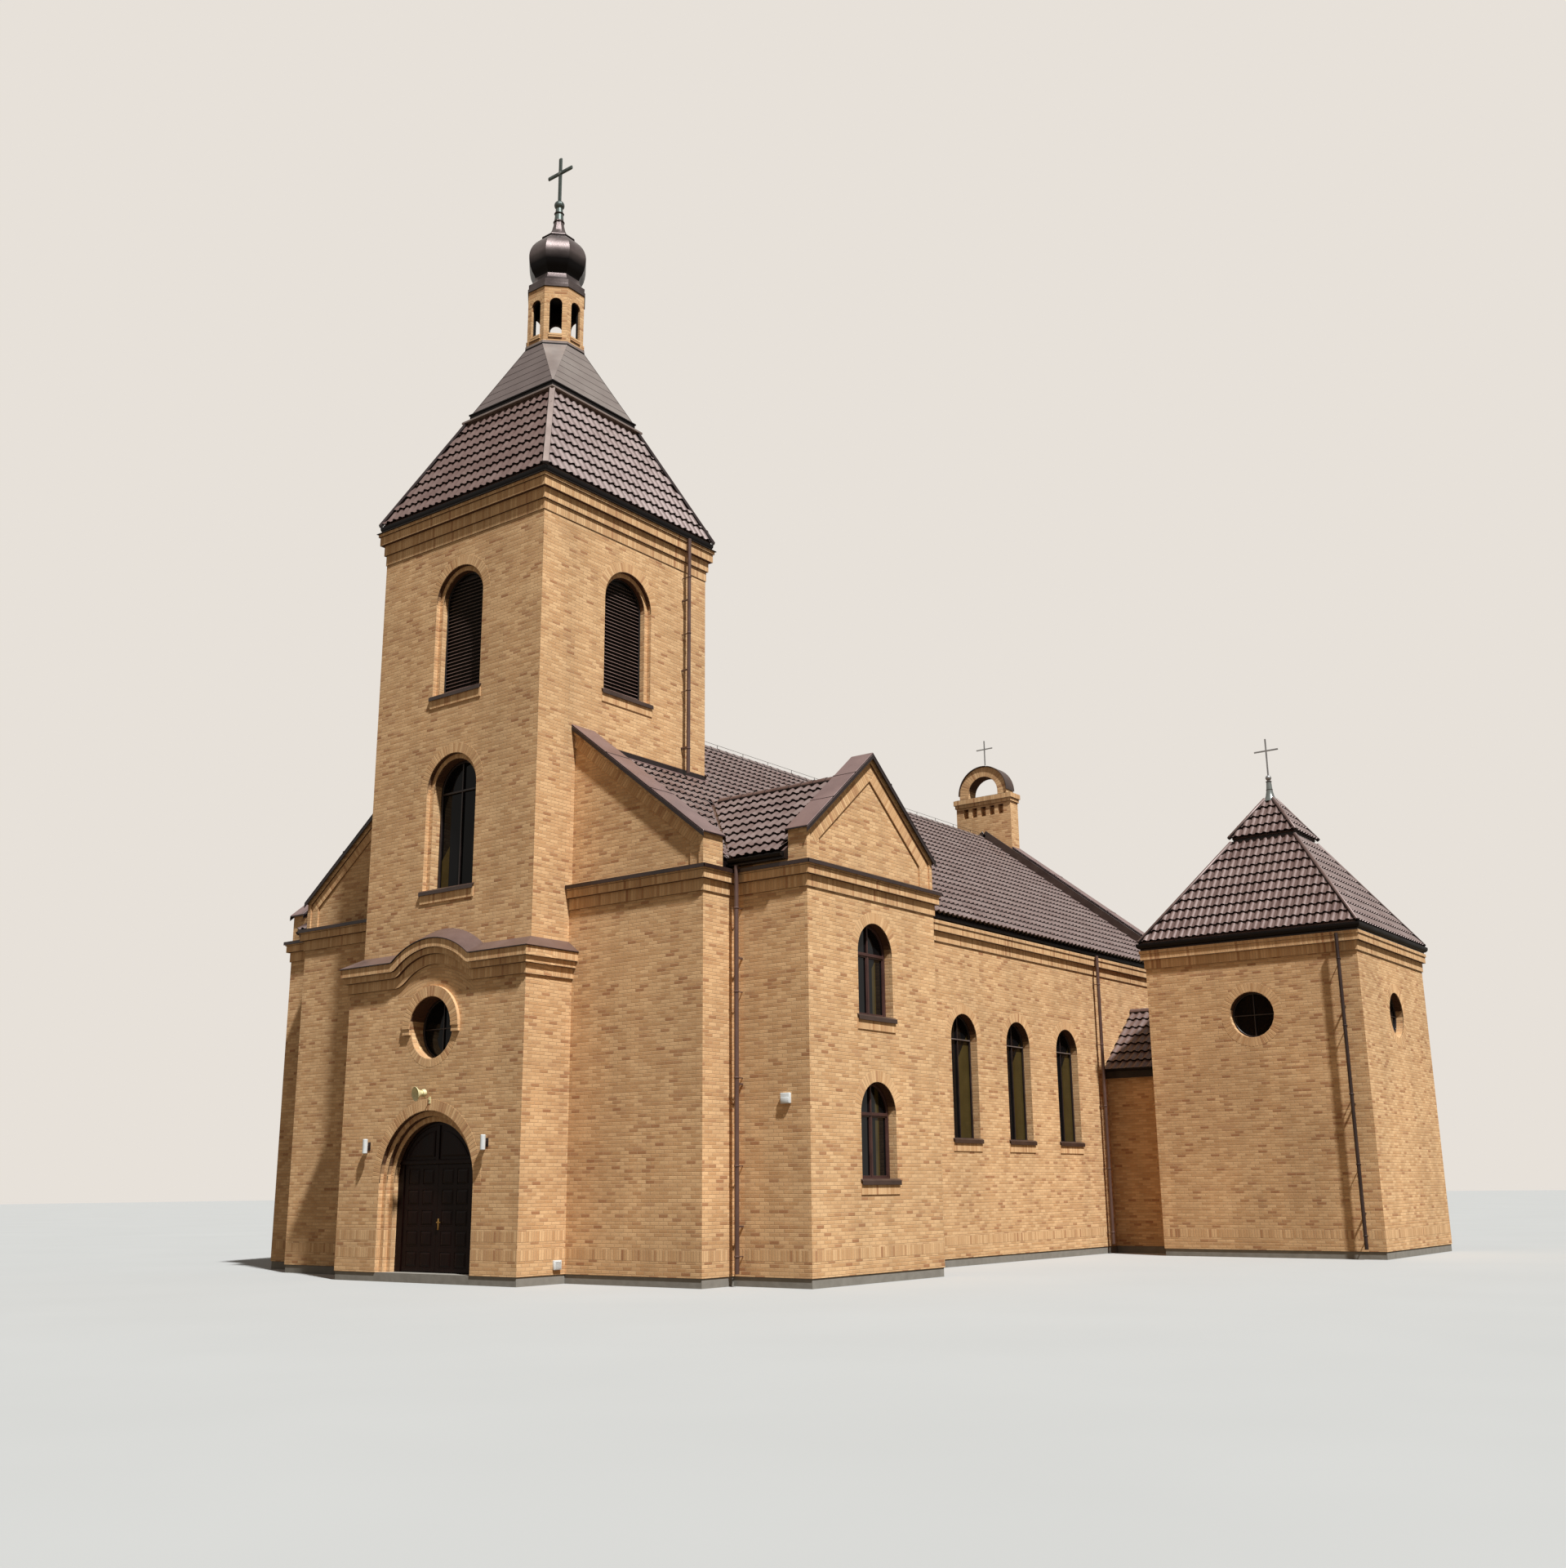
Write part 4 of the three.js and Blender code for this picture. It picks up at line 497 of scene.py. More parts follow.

# %% [markdown]
# ## Glass, wood and plaster
# From outside the panes are nearly black: the pane is opaque, and its near-black colour is painted shade for
# the unlit room behind it. In some of them an olive lining can be seen behind the glass, where the sun
# reaches it past the reveal; that sunlit patch is painted into the pane, and a sloping line at its top is
# a painted shadow edge. A window's own place along the wall tells the finish where that strip is, and the
# same finish serves all windows of a row because they are evenly spaced.

# %% Finishes for glass
def glass_finish(name, specular, strips=()):
    material, tree, sockets = finish_base(name, 0.06, specular=specular)
    ripple = noise(tree, 0.9, 2.0)
    # painted shade: the opaque pane is near black for the unlit room behind it
    colour = between(tree, ripple, linear(6, 6, 7), linear(20, 20, 21), colour=True)
    grid = use_group(tree, grid_group)
    for middle, spacing, first, last, top in strips:
        offset = calc(tree, "WRAP", calc(tree, "SUBTRACT", grid["Along"], middle),
                      spacing / 2, -spacing / 2)
        inside = calc(tree, "MULTIPLY", calc(tree, "GREATER_THAN", offset, first),
                      calc(tree, "LESS_THAN", offset, last))
        # painted shadow edge: the patch ends under a sloping line where the reveal's shade starts
        below = calc(tree, "LESS_THAN", calc(tree, "MULTIPLY_ADD", offset, -1.3, grid["Up"]), top)
        inside = calc(tree, "MULTIPLY", inside, below)
        # painted sunlight: the olive lining where the sun reaches it
        lining = between(tree, noise(tree, 2.5, 3.0), linear(52, 43, 21), linear(74, 61, 31), True)
        colour = between(tree, inside, colour, lining, colour=True)
    tree.links.new(colour, sockets["Base Color"])
    bump(tree, sockets, ripple, 0.01)
    return material


dark_glass = glass_finish("dark_glass", 0.15)
nave_glass = glass_finish("nave_glass", 0.12, [(11.94, 2.935, 0.04, 0.62, 5.17)])
bay_glass = glass_finish("bay_glass", 0.3, [(4.7425, 8.0, 0.22, 0.36, 2.95), (4.7425, 8.0, 0.22, 0.36, 6.45)])
tall_glass = glass_finish("tall_glass", 0.12, [(0.0, 8.0, -0.68, -0.42, 10.6)])
print("glass finishes:", 4)

# %% [markdown]
# The doors are dark stained wood with the grain standing upright, the base is concrete and the inside is
# plastered. Stretching the noise along one direction turns clouds into grain.

# %% Finishes for door wood, concrete and plaster
door_wood, tree, sockets = finish_base("door_wood", 0.45, specular=0.12)
grain = noise(tree, 2.2, 6.0, object_place(tree, (14.0, 14.0, 1.1)), 0.65)
tree.links.new(between(tree, remap(tree, grain, 0.3, 0.7), linear(11, 4, 3), linear(30, 12, 8),
                       colour=True), sockets["Base Color"])
tree.links.new(remap(tree, grain, 0.2, 0.8, 0.28, 0.5), sockets["Roughness"])
bump(tree, sockets, grain, 0.002)

concrete = grainy_finish("concrete", 0.9, 0.2, 5.0, 6.0, (118, 112, 103), (148, 142, 132), 0.006)
plaster = grainy_finish("inside_plaster", 0.9, 0.5, 6.0, 5.0, (186, 180, 168), (216, 210, 198), 0.004)
print("doors dark, floors pale:", concrete.name, plaster.name)

# %% [markdown]
# ## Dress the CAD nodes
# Each node keeps its shape and takes its finish. The names say what they are, so a short list of name
# beginnings is enough to choose.

# %% Give each CAD node its finish
FINISHES = [
    (("porch_pier", "porch_arch"), brick_porch),
    (("tower_side_wall", "tower_front", "tower_back"), brick_tower),
    (("front_gable", "bay_walls", "nave_wall", "end_wall"), brick_nave), (("side_tower_walls",), brick_side),
    (("bell_cote_cross", "side_tower_cross"), cross_metal), (("tower_cross",), dark_cross),
    (("bell_cote",), brick_cote), (("link_front", "link_back"), brick_plain), (("lantern",), brick_lantern),
    (("church_floor", "side_floor"), concrete), (("gallery_floor", "belfry_floor"), plaster),
    (("nave_roof", "bay_roof", "link_roof", "side_tower_roof", "tower_roof_lower"), tile_metal),
    (("tower_roof_upper",), roof_sheet), (("onion_dome",), dome_metal), (("porch_flashing",), flashing_metal),
    (("belfry_louvre",), louvre_shade), (("door_frame", "door_leaf"), door_wood),
    (("nave_windows",), nave_glass), (("bay_windows",), bay_glass), (("tower_window",), tall_glass),
    (("oculus", "side_window"), dark_glass), (("nave_gutter",), gutter_metal),
    (("tower_downpipe", "valley_downpipe"), pipe_metal), (("side_downpipe",), dark_pipe),
]
for name, node in nodes.items():
    chosen = next(finish for starts, finish in FINISHES if name.startswith(starts))
    node.data.materials.clear()
    node.data.materials.append(chosen)
print("finishes given to", len(nodes), "nodes")

# %% [markdown]
# ## Small tools that make pieces
# Most parts of a building start as one of three things: a block between two corners, a bar between two
# points, or a flat outline pushed out along a line. Each is a primitive that edit mode reshapes, and each
# leaves its place in its mesh, so that the object itself sits at the origin like the CAD nodes.

# %% Blocks, bars and outlines
def settle(piece):
    take(piece)
    bpy.ops.object.transform_apply(location=True, rotation=True, scale=True)
    return piece


def block(low, high, edge=0.0, segments=1):
    let_go()
    low, high = Vector(low), Vector(high)
    bpy.ops.mesh.primitive_cube_add(size=1, location=(low + high) / 2, scale=high - low)
    piece = settle(bpy.context.object)
    if edge:
        edit(piece, "EDGE")
        soften(edge, segments)
        done()
    return piece


def lay(piece, origin, along, up):
    across = Vector(up).cross(along).normalized()
    piece.matrix_world = Matrix.Translation(origin) @ Matrix(
        (along, across, along.cross(across))).transposed().to_4x4()
    return settle(piece)


def aim(piece, start, end, up):
    start, end = Vector(start), Vector(end)
    return lay(piece, (start + end) / 2, (end - start).normalized(), up)


def bar(start, end, width, height, up=(0, 0, 1), edge=0.004):
    half = (Vector(end) - Vector(start)).length / 2
    return aim(block((-half, -width / 2, -height / 2), (half, width / 2, height / 2), edge), start, end, up)


def rod(start, end, radius, sides=10, up=(0.31, 0.22, 1)):
    let_go()
    bpy.ops.mesh.primitive_cylinder_add(vertices=sides, radius=radius, rotation=(0, math.pi / 2, 0),
                                        depth=(Vector(end) - Vector(start)).length)
    piece = settle(bpy.context.object)
    edit(piece, "EDGE")
    pick(lambda e: len(e.link_faces) == 2 and max(len(f.verts) for f in e.link_faces) > 4)
    soften(radius * 0.2)
    done()
    return aim(piece, start, end, up)


def flat_face(points):
    let_go()
    bpy.ops.mesh.primitive_circle_add(vertices=len(points), radius=1, fill_type="NGON")
    piece = bpy.context.object
    for corner, point in zip(piece.data.vertices, points):
        corner.co = point
    return piece


def push_out(push):
    bpy.ops.mesh.select_all(action="SELECT")
    bpy.ops.mesh.extrude_region_move(TRANSFORM_OT_translate={"value": push})
    turn_out()


def soften_over(angle, edge):
    if edge:
        bpy.ops.mesh.select_mode(type="EDGE")
        pick(lambda e: e.calc_face_angle(0) > angle)
        soften(edge)
    done()


def drawn(points, push, edge=0.0):
    piece = flat_face(points)
    edit(piece, "FACE")
    push_out(push)
    soften_over(0.5, edge)
    return piece


def ring_of(points, width, push, edge=0.0):
    piece = flat_face(points)
    edit(piece, "FACE")
    bpy.ops.mesh.inset(thickness=width, use_boundary=True)
    bpy.ops.mesh.delete(type="FACE")
    push_out(push)
    soften_over(0.8, edge)
    return piece


def level_box(middle, reach_x, reach_y, z):
    x, y = middle
    return [(x - reach_x, y - reach_y, z), (x + reach_x, y - reach_y, z),
            (x + reach_x, y + reach_y, z), (x - reach_x, y + reach_y, z)]


def upright_box(x0, x1, z0, z1, y):
    return [(x0, y, z0), (x1, y, z0), (x1, y, z1), (x0, y, z1)]


print("outline tools ready")


# %% [markdown]
# Things that repeat are modelled once. An array modifier lays a straight row, spin with duplicates lays a
# ring, and a mirror makes the far side of the church. Every copy is real mesh, so it can be exported.

# %% Rows, rings, copies and joining
def modify(piece, kind, **settings):
    take(piece)
    modifier = piece.modifiers.new(kind.lower(), kind)
    for key, value in settings.items():
        setattr(modifier, key, value)
    bpy.ops.object.modifier_apply(modifier=modifier.name)
    return piece


def row_of(piece, count, step, merge=0.0):
    return modify(piece, "ARRAY", count=max(1, count), use_relative_offset=False, use_constant_offset=True,
                  constant_offset_displace=step, use_merge_vertices=merge > 0, merge_threshold=merge)


def both_sides(piece):
    return modify(piece, "MIRROR", use_axis=(True, False, False), use_mirror_merge=False)


def spin_copies(piece, steps, angle, centre, axis):
    edit(piece)
    bpy.ops.mesh.spin(steps=steps, dupli=True, angle=angle, center=centre, axis=axis)
    turn_out()
    done()
    return piece


def twin(piece):
    take(piece)
    bpy.ops.object.duplicate(linked=False)
    return bpy.context.object


def join(pieces):
    take(*pieces)
    if len(pieces) > 1:
        bpy.ops.object.join()
    return bpy.context.object


def turned(piece, degrees, x=0.0, y=0.0, z=0.0):
    piece.rotation_euler = (0, 0, math.radians(degrees))
    piece.location = (x, y, z)
    return settle(piece)


def on_walls(piece, spots):
    copies = [turned(twin(piece), *spot) for spot in spots]
    take(piece)
    bpy.ops.object.delete()
    return join(copies)


def put(piece, name, finish, body="building", smooth=None):
    piece.name = name
    piece.data.name = name
    piece.data.materials.clear()
    piece.data.materials.append(finish)
    take(piece)
    if smooth is None:
        bpy.ops.object.shade_flat()
    else:
        bpy.ops.object.shade_smooth_by_angle(angle=math.radians(smooth))
    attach(piece, body)
    return piece


def cut_and_clear(piece, planes, gone):
    edit(piece)
    for point, normal in planes:
        bpy.ops.mesh.select_all(action="SELECT")
        bpy.ops.mesh.bisect(plane_co=point, plane_no=normal)
    pick(lambda face: gone(face.calc_center_median()))
    bpy.ops.mesh.delete(type="FACE")
    done()
    return piece


def triangles(piece):
    return sum(len(face.vertices) - 2 for face in piece.data.polygons)


print("copying tools ready")

# %% [markdown]
# ## Roof tiles
# The roofs carry brown metal tiles pressed in waves. Each row steps down over the next, and the dark wavy
# line under that step is what the eye reads as tiles. So the step is real: one tile is a strip with a
# roll, tilted up at its lower edge, with a lip folded down. An array repeats it along the eaves and up the
# slope, and planes cut the sheet at hips, valleys and the tower.

# %% One tile and a sheet of tiles
WAVE, SIDE_WAVE = 0.237, 0.221
ROLL_HEIGHTS = (0.0, 0.036, 0.050, 0.038, 0.002, 0.0, 0.0)
TILE_LIFT = 0.056
TILE_GAP = 0.014


def one_tile(step, wave):
    let_go()
    parts = len(ROLL_HEIGHTS) - 1
    bpy.ops.mesh.primitive_grid_add(x_subdivisions=parts, y_subdivisions=1, size=1,
                                    location=(wave / 2, step / 2, TILE_GAP))
    tile = bpy.context.object
    tile.scale = (wave, step, 1)
    settle(tile)
    edit(tile, "VERT")
    for number, height in enumerate(ROLL_HEIGHTS):
        pick(lambda v: abs(v.co.x - number * wave / parts) < 0.001)
        bpy.ops.transform.translate(value=(0, 0, height))
    pick(lambda v: v.co.y < 0.001)
    bpy.ops.transform.translate(value=(0, 0, TILE_LIFT))
    bpy.ops.mesh.select_mode(type="EDGE")
    pick(lambda e: all(v.co.y < 0.001 for v in e.verts))
    bpy.ops.mesh.extrude_region_move(TRANSFORM_OT_translate={"value": (0, 0.012, -TILE_LIFT - 0.006)})
    turn_out()
    if sum(face.normal.z for face in bmesh.from_edit_mesh(tile.data).faces) < 0:
        bpy.ops.mesh.flip_normals()
    done()
    return tile


def tile_sheet(origin, along, up, width, length, rows, planes=(), gone=lambda c: False, wave=WAVE):
    step = length / rows
    sheet = row_of(one_tile(step, wave), math.ceil(width / wave), (wave, 0, 0), 0.0005)
    row_of(sheet, rows, (0, step, 0))
    along, up = Vector(along).normalized(), Vector(up).normalized()
    sheet.matrix_world = Matrix.Translation(origin) @ Matrix(
        (along, up, along.cross(up))).transposed().to_4x4()
    settle(sheet)
    return cut_and_clear(sheet, planes, gone)


print("a tile is", WAVE, "m wide and rises", ROLL_HEIGHTS[2], "m")

# %% [markdown]
# ## The nave and the cross bays
# The bay roofs run into the nave roof. Where the slopes meet, each sheet stops a hand's width short of the
# valley, and a bent metal strip lies in the gap. Seen from above the valley is a straight line, so upright
# planes along it make the cut.

# %% Tiles on the nave
RIDGE, PITCH, EAVE_X = 14.4, 0.773, 7.12
NAVE_START, NAVE_STOP = 1.86, 25.74
BAY_RIDGE, BAY_PITCH, BAY_MIDDLE, BAY_EAVE = 11.17, 0.8, 4.7425, 2.02
BAY_INSIDE = 8.45
VALLEY_HALF = 0.085
VALLEY_TOP_X = (RIDGE - BAY_RIDGE) / PITCH
VALLEY_RUN = BAY_PITCH / PITCH


def valley_x(y):
    return VALLEY_TOP_X + VALLEY_RUN * abs(y - BAY_MIDDLE)


def valley_planes(shift):
    return [((VALLEY_TOP_X + shift, BAY_MIDDLE, 0), (1, VALLEY_RUN, 0)),
            ((VALLEY_TOP_X + shift, BAY_MIDDLE, 0), (1, -VALLEY_RUN, 0))]


def hidden_on_nave(c):
    by_tower = c.x < 2.96 and c.y < 6.06
    return by_tower or c.x > valley_x(c.y) - VALLEY_HALF or c.x < 0.02 or c.y > NAVE_STOP


nave_tiles = tile_sheet(
    (EAVE_X, NAVE_START, RIDGE - PITCH * EAVE_X), (0, 1, 0), (-1, 0, PITCH), NAVE_STOP - NAVE_START,
    math.hypot(EAVE_X, PITCH * EAVE_X), 21,
    valley_planes(-VALLEY_HALF) + [((2.96, 0, 0), (1, 0, 0)), ((0, 6.06, 0), (0, 1, 0)),
                                   ((0.02, 0, 0), (1, 0, 0)), ((0, NAVE_STOP, 0), (0, 1, 0))],
    hidden_on_nave)
put(both_sides(nave_tiles), "nave_tiles", tile_metal, smooth=40)
print("the valleys meet the nave", round(VALLEY_TOP_X, 2), "m from its middle")

# %% [markdown]
# Under the tiles lies the roof deck. The model's deck reaches over the gutter, which would put the whole
# cornice in shade, so a copy of it is cut back above the wall and stands for it. The gutter becomes a
# slim trough on top of the cornice.

# %% Cut the deck back and lay the nave gutters
DECK_EDGE = 6.985


def trimmed_deck(name, sign):
    deck = bpy.data.objects.new(name + "_deck", nodes[name].data.copy())
    bpy.context.scene.collection.objects.link(deck)
    edit(deck, "VERT")
    bpy.ops.mesh.remove_doubles(threshold=0.0002)
    bpy.ops.mesh.bisect(plane_co=(sign * DECK_EDGE, 0, 0), plane_no=(sign, 0, 0), clear_outer=True,
                        use_fill=True)
    done()
    return deck


decks = put(join([trimmed_deck("nave_roof_right", 1), trimmed_deck("nave_roof_left", -1)]),
            "nave_deck", tile_metal)
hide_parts("nave_roof_right", "nave_roof_left")
trough = [(6.99, 8.772), (7.07, 8.772), (7.085, 8.788), (7.085, 8.85), (7.079, 8.85), (7.079, 8.793),
          (7.066, 8.78), (6.996, 8.78), (6.996, 8.85), (6.99, 8.85)]
gutter_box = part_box("nave_gutter_right")
gutter_length = gutter_box[1][1] - gutter_box[0][1]
nave_gutters = both_sides(drawn([(x, gutter_box[0][1], z) for x, z in trough], (0, gutter_length, 0)))
put(nave_gutters, "nave_gutters", gutter_metal)
nave_pipe = both_sides(rod((7.13, 19.75, 0.26), (7.13, 19.75, 8.775), 0.05, 14))
put(nave_pipe, "nave_downpipes", pipe_metal, smooth=40)
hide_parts("nave_gutter_right", "nave_gutter_left")

# %% Tiles on the bays and the link
bay_length = math.hypot(BAY_MIDDLE - BAY_EAVE, BAY_PITCH * (BAY_MIDDLE - BAY_EAVE))
bay_foot = BAY_RIDGE - BAY_PITCH * (BAY_MIDDLE - BAY_EAVE)
bay_cuts = valley_planes(VALLEY_HALF) + [((BAY_INSIDE, 0, 0), (1, 0, 0))]


def hidden_on_bay(c):
    return c.x < valley_x(c.y) + VALLEY_HALF or c.x > BAY_INSIDE


BAY_START, BAY_ROWS = 4.1, 8
bay_front = tile_sheet((BAY_START, BAY_EAVE, bay_foot), (1, 0, 0), (0, 1, BAY_PITCH),
                       BAY_INSIDE - BAY_START, bay_length, BAY_ROWS, bay_cuts, hidden_on_bay)
bay_back = tile_sheet((BAY_INSIDE, 2 * BAY_MIDDLE - BAY_EAVE, bay_foot), (-1, 0, 0), (0, -1, BAY_PITCH),
                      BAY_INSIDE - BAY_START, bay_length, BAY_ROWS, bay_cuts, hidden_on_bay)
bay_tiles = put(both_sides(join([bay_front, bay_back])), "bay_tiles", tile_metal, smooth=40)

LINK_RIDGE, LINK_PITCH, LINK_MIDDLE, LINK_EAVE = 7.24, 0.85, 22.4, 20.1
link_run = LINK_MIDDLE - LINK_EAVE
link_foot = LINK_RIDGE - LINK_PITCH * link_run
link_length = math.hypot(link_run, LINK_PITCH * link_run)
LINK_NEAR, LINK_FAR, LINK_WIDE, LINK_ROWS = 6.95, 9.04, 2.1, 7
link_cuts = [((LINK_FAR, 0, 0), (1, 0, 0)), ((LINK_NEAR, 0, 0), (1, 0, 0))]


def beyond_link(c):
    return c.x > LINK_FAR or c.x < LINK_NEAR


link_front = tile_sheet((LINK_NEAR, LINK_EAVE, link_foot), (1, 0, 0), (0, 1, LINK_PITCH), LINK_WIDE,
                        link_length, LINK_ROWS, link_cuts, beyond_link)
link_back = tile_sheet((LINK_FAR, 2 * LINK_MIDDLE - LINK_EAVE, link_foot), (-1, 0, 0),
                       (0, -1, LINK_PITCH), LINK_WIDE, link_length, LINK_ROWS, link_cuts, beyond_link)
link_tiles = put(join([link_front, link_back]), "link_tiles", tile_metal, smooth=40)
print("tiles:", triangles(nave_tiles), triangles(bay_tiles), triangles(link_tiles), "triangles")

# %% [markdown]
# ## Pyramid roofs
# The tower's lower roof and the two stages of the side tower are pyramids with their tops cut off. Each
# face is a sheet of tiles wider than the face, and the two upright planes through its hips cut it to a
# trapezium. A strip or a slim round cap then covers each hip.

# %% Tiles on a pyramid stage
def pyramid_tiles(middle, low_half, low, high_half, high, rows, wave=WAVE):
    faces = []
    rise = high - low
    for degrees in (0, 90, 180, 270):
        reach, run = low_half if degrees % 180 == 0 else reversed(low_half)
        widen, step_in = reach - high_half, run - high_half
        corner = Vector((high_half, -high_half, high))
        planes = [(corner, (step_in, widen, 0)), (corner * Vector((-1, 1, 1)), (-step_in, widen, 0))]
        columns = math.ceil(reach / wave)
        face = tile_sheet((-columns * wave, -run, low), (1, 0, 0), (0, step_in, rise), 2 * columns * wave,
                          math.hypot(step_in, rise), rows, planes,
                          lambda c: abs(c.x) > high_half + widen * (-c.y - high_half) / step_in, wave)
        faces.append(turned(face, degrees, *middle))
    return join(faces)


CORNERS = ((1, 1), (1, -1), (-1, 1), (-1, -1))


def hip_lines(middle, low_half, low, high_half, high):
    x, y = middle
    for sx, sy in CORNERS:
        yield (Vector((x + sx * low_half[0], y + sy * low_half[1], low)),
               Vector((x + sx * high_half, y + sy * high_half, high)), Vector((sx, sy, 1)))


TOWER_ROOF = (TOWER_MIDDLE, (2.99, 3.085), 18.935, 1.545, 22.05)
tower_tiles = put(pyramid_tiles(*TOWER_ROOF, 8), "tower_roof_tiles", tile_metal, smooth=40)
SIDE_MIDDLE = (12.135, 22.095)
SIDE_ROOF = (SIDE_MIDDLE, (3.14, 3.14), 8.90, 0.90, 12.01)
SIDE_CAP = (SIDE_MIDDLE, (0.955, 0.955), 12.13, 0.05, 13.40)
side_tiles = put(join([pyramid_tiles(*SIDE_ROOF, 10, SIDE_WAVE), pyramid_tiles(*SIDE_CAP, 4, SIDE_WAVE)]),
                 "side_roof_tiles", tile_metal, smooth=40)
print("pyramid tiles:", triangles(tower_tiles), triangles(side_tiles), "triangles")

# %% [markdown]
# ## Ridges, hips and valleys
# A ridge tile is half a tube, a little wider at the end that laps over the next one. The tower's hips are
# covered by flat folded boxes, the side tower's by slim round caps. In the valleys lies a bent strip.

# %% Ridge tiles, hip caps and valley strips
def ridge_row(start, end, radius=0.12, length=0.36):
    start, end = Vector(start), Vector(end)
    let_go()
    bpy.ops.mesh.primitive_cone_add(vertices=12, radius1=radius, radius2=radius * 0.86, depth=length + 0.03,
                                    rotation=(0, math.pi / 2, 0), location=(length / 2, 0, 0))
    tile = settle(bpy.context.object)
    edit(tile)
    bpy.ops.mesh.bisect(plane_co=(0, 0, -0.03), plane_no=(0, 0, 1), clear_inner=True, use_fill=True)
    done()
    row_of(tile, int((end - start).length / length), (length, 0, 0))
    return lay(tile, start, (end - start).normalized(), (0, 0, 1))


ridges = [ridge_row((0, 6.1, RIDGE + 0.02), (0, 25.7, RIDGE + 0.02)),
          ridge_row((6.96, LINK_MIDDLE, LINK_RIDGE + 0.02), (9.05, LINK_MIDDLE, LINK_RIDGE + 0.02))]
bay_ridge = both_sides(ridge_row((BAY_INSIDE, BAY_MIDDLE, BAY_RIDGE + 0.02),
                                 (VALLEY_TOP_X + 0.05, BAY_MIDDLE, BAY_RIDGE + 0.02)))
put(join(ridges + [bay_ridge]), "ridge_tiles", tile_metal, smooth=40)
HIP_OUT, CAP_OUT = 0.088, 0.075


def hip_box(low, high, up):
    out = Vector((up.x, up.y, 0)) * HIP_OUT
    return bar(low + out - Vector((0, 0, 0.02)), high + out, 0.145, 0.075, (up.x, up.y, 0.7), 0.010)


def hip_cap(low, high, up):
    out = Vector((up.x, up.y, 0)) * CAP_OUT
    return rod(low + out, high + out, 0.062, 8)


put(join([hip_box(*line) for line in hip_lines(*TOWER_ROOF)]), "tower_hip_strips", hip_metal)
put(join([hip_cap(*line) for stage in (SIDE_ROOF, SIDE_CAP) for line in hip_lines(*stage)]),
    "side_hip_caps", tile_metal, smooth=50)


VALLEY_REACH = 2.72


def valley_strip(sign):
    low_y = BAY_MIDDLE + sign * VALLEY_REACH
    top_point = Vector((VALLEY_TOP_X, BAY_MIDDLE, BAY_RIDGE + 0.02))
    low_point = Vector((valley_x(low_y), low_y, BAY_RIDGE - BAY_PITCH * VALLEY_REACH + 0.02))
    nave_side = Vector((-VALLEY_HALF * 1.5, 0, PITCH * VALLEY_HALF * 1.5))
    bay_side = Vector((0, -sign * VALLEY_HALF * 1.4, BAY_PITCH * VALLEY_HALF * 1.4))
    wing_a = flat_face([top_point, low_point, low_point + nave_side, top_point + nave_side])
    wing_b = flat_face([top_point, top_point + bay_side, low_point + bay_side, low_point])
    return modify(join([wing_a, wing_b]), "SOLIDIFY", thickness=0.006, offset=0)


put(both_sides(join([valley_strip(1), valley_strip(-1)])), "valley_strips", tile_metal)
print("ridges, hips and valleys covered")

# %% [markdown]
# ## Metal caps on the gables
# The gable walls rise above the tiles and carry broad caps of folded sheet. A cap is as wide as the wall
# and hangs over its face with a turned-down edge, which throws the shadow under it. Drawn as a thin
# outline along the slope and pushed through the wall's thickness, it needs only two outlines: the cover
# and the fold. Two narrow seams cross each cap where its sheets meet.

# %% Caps along a sloping wall top
CAP_SHEET, CAP_FOLD, CAP_OVER, CAP_BACK, FOLD_THICK = 0.05, 0.10, 0.08, 0.03, 0.012


def slope_cap(height_at, near, far, wall_front, wall_back):
    front, back = wall_front - CAP_OVER, wall_back + CAP_BACK

    def strip(start, end, low, high, y, deep, edge=0.0):
        corners = [(start, low), (end, low), (end, high), (start, high)]
        return drawn([(x, y, height_at(x) + lift) for x, lift in corners], (0, deep, 0), edge)

    pieces = [strip(near, far, 0.004, CAP_SHEET, front, back - front, 0.008)]
    for y in (front, back - FOLD_THICK):
        pieces.append(strip(near, far, -CAP_FOLD, 0.006, y, FOLD_THICK, 0.003))
    for part in (0.28, 0.62):
        seam = near + part * (far - near)
        pieces.append(strip(seam, seam + 0.03, CAP_SHEET - 0.004, CAP_SHEET + 0.012, front - 0.004,
                            back - front + 0.006))
    return join(pieces)


def nave_line(x):
    return 14.88 - PITCH * abs(x)


def bay_line(y):
    return 11.64 - 0.83 * abs(y)


front_caps = both_sides(slope_cap(nave_line, 2.912, 7.0, 1.175, 1.845))
end_cap = both_sides(slope_cap(nave_line, 1.152, 7.0, -26.25, -25.75))
turned(end_cap, 180)
bay_cap = both_sides(slope_cap(bay_line, 0.0, 2.62, -8.96, -8.46))
turned(bay_cap, 90, 0, BAY_MIDDLE)
caps = join([front_caps, end_cap, both_sides(bay_cap)])
put(caps, "gable_caps", cap_metal)
print("gable caps:", triangles(caps), "triangles")

# %% [markdown]
# ## Drip sheets and gutters
# Each cornice is covered by a dark sheet with a turned-down edge that keeps rain off the bricks. It runs
# round every corner, so it is drawn once as a plan of the whole run and pushed up by its thickness.

# %% Drip sheets on the main cornice
DRIP_OUT, DRIP_Z, DRIP_THICK, DRIP_LIP = 0.17, 8.748, 0.022, 0.065


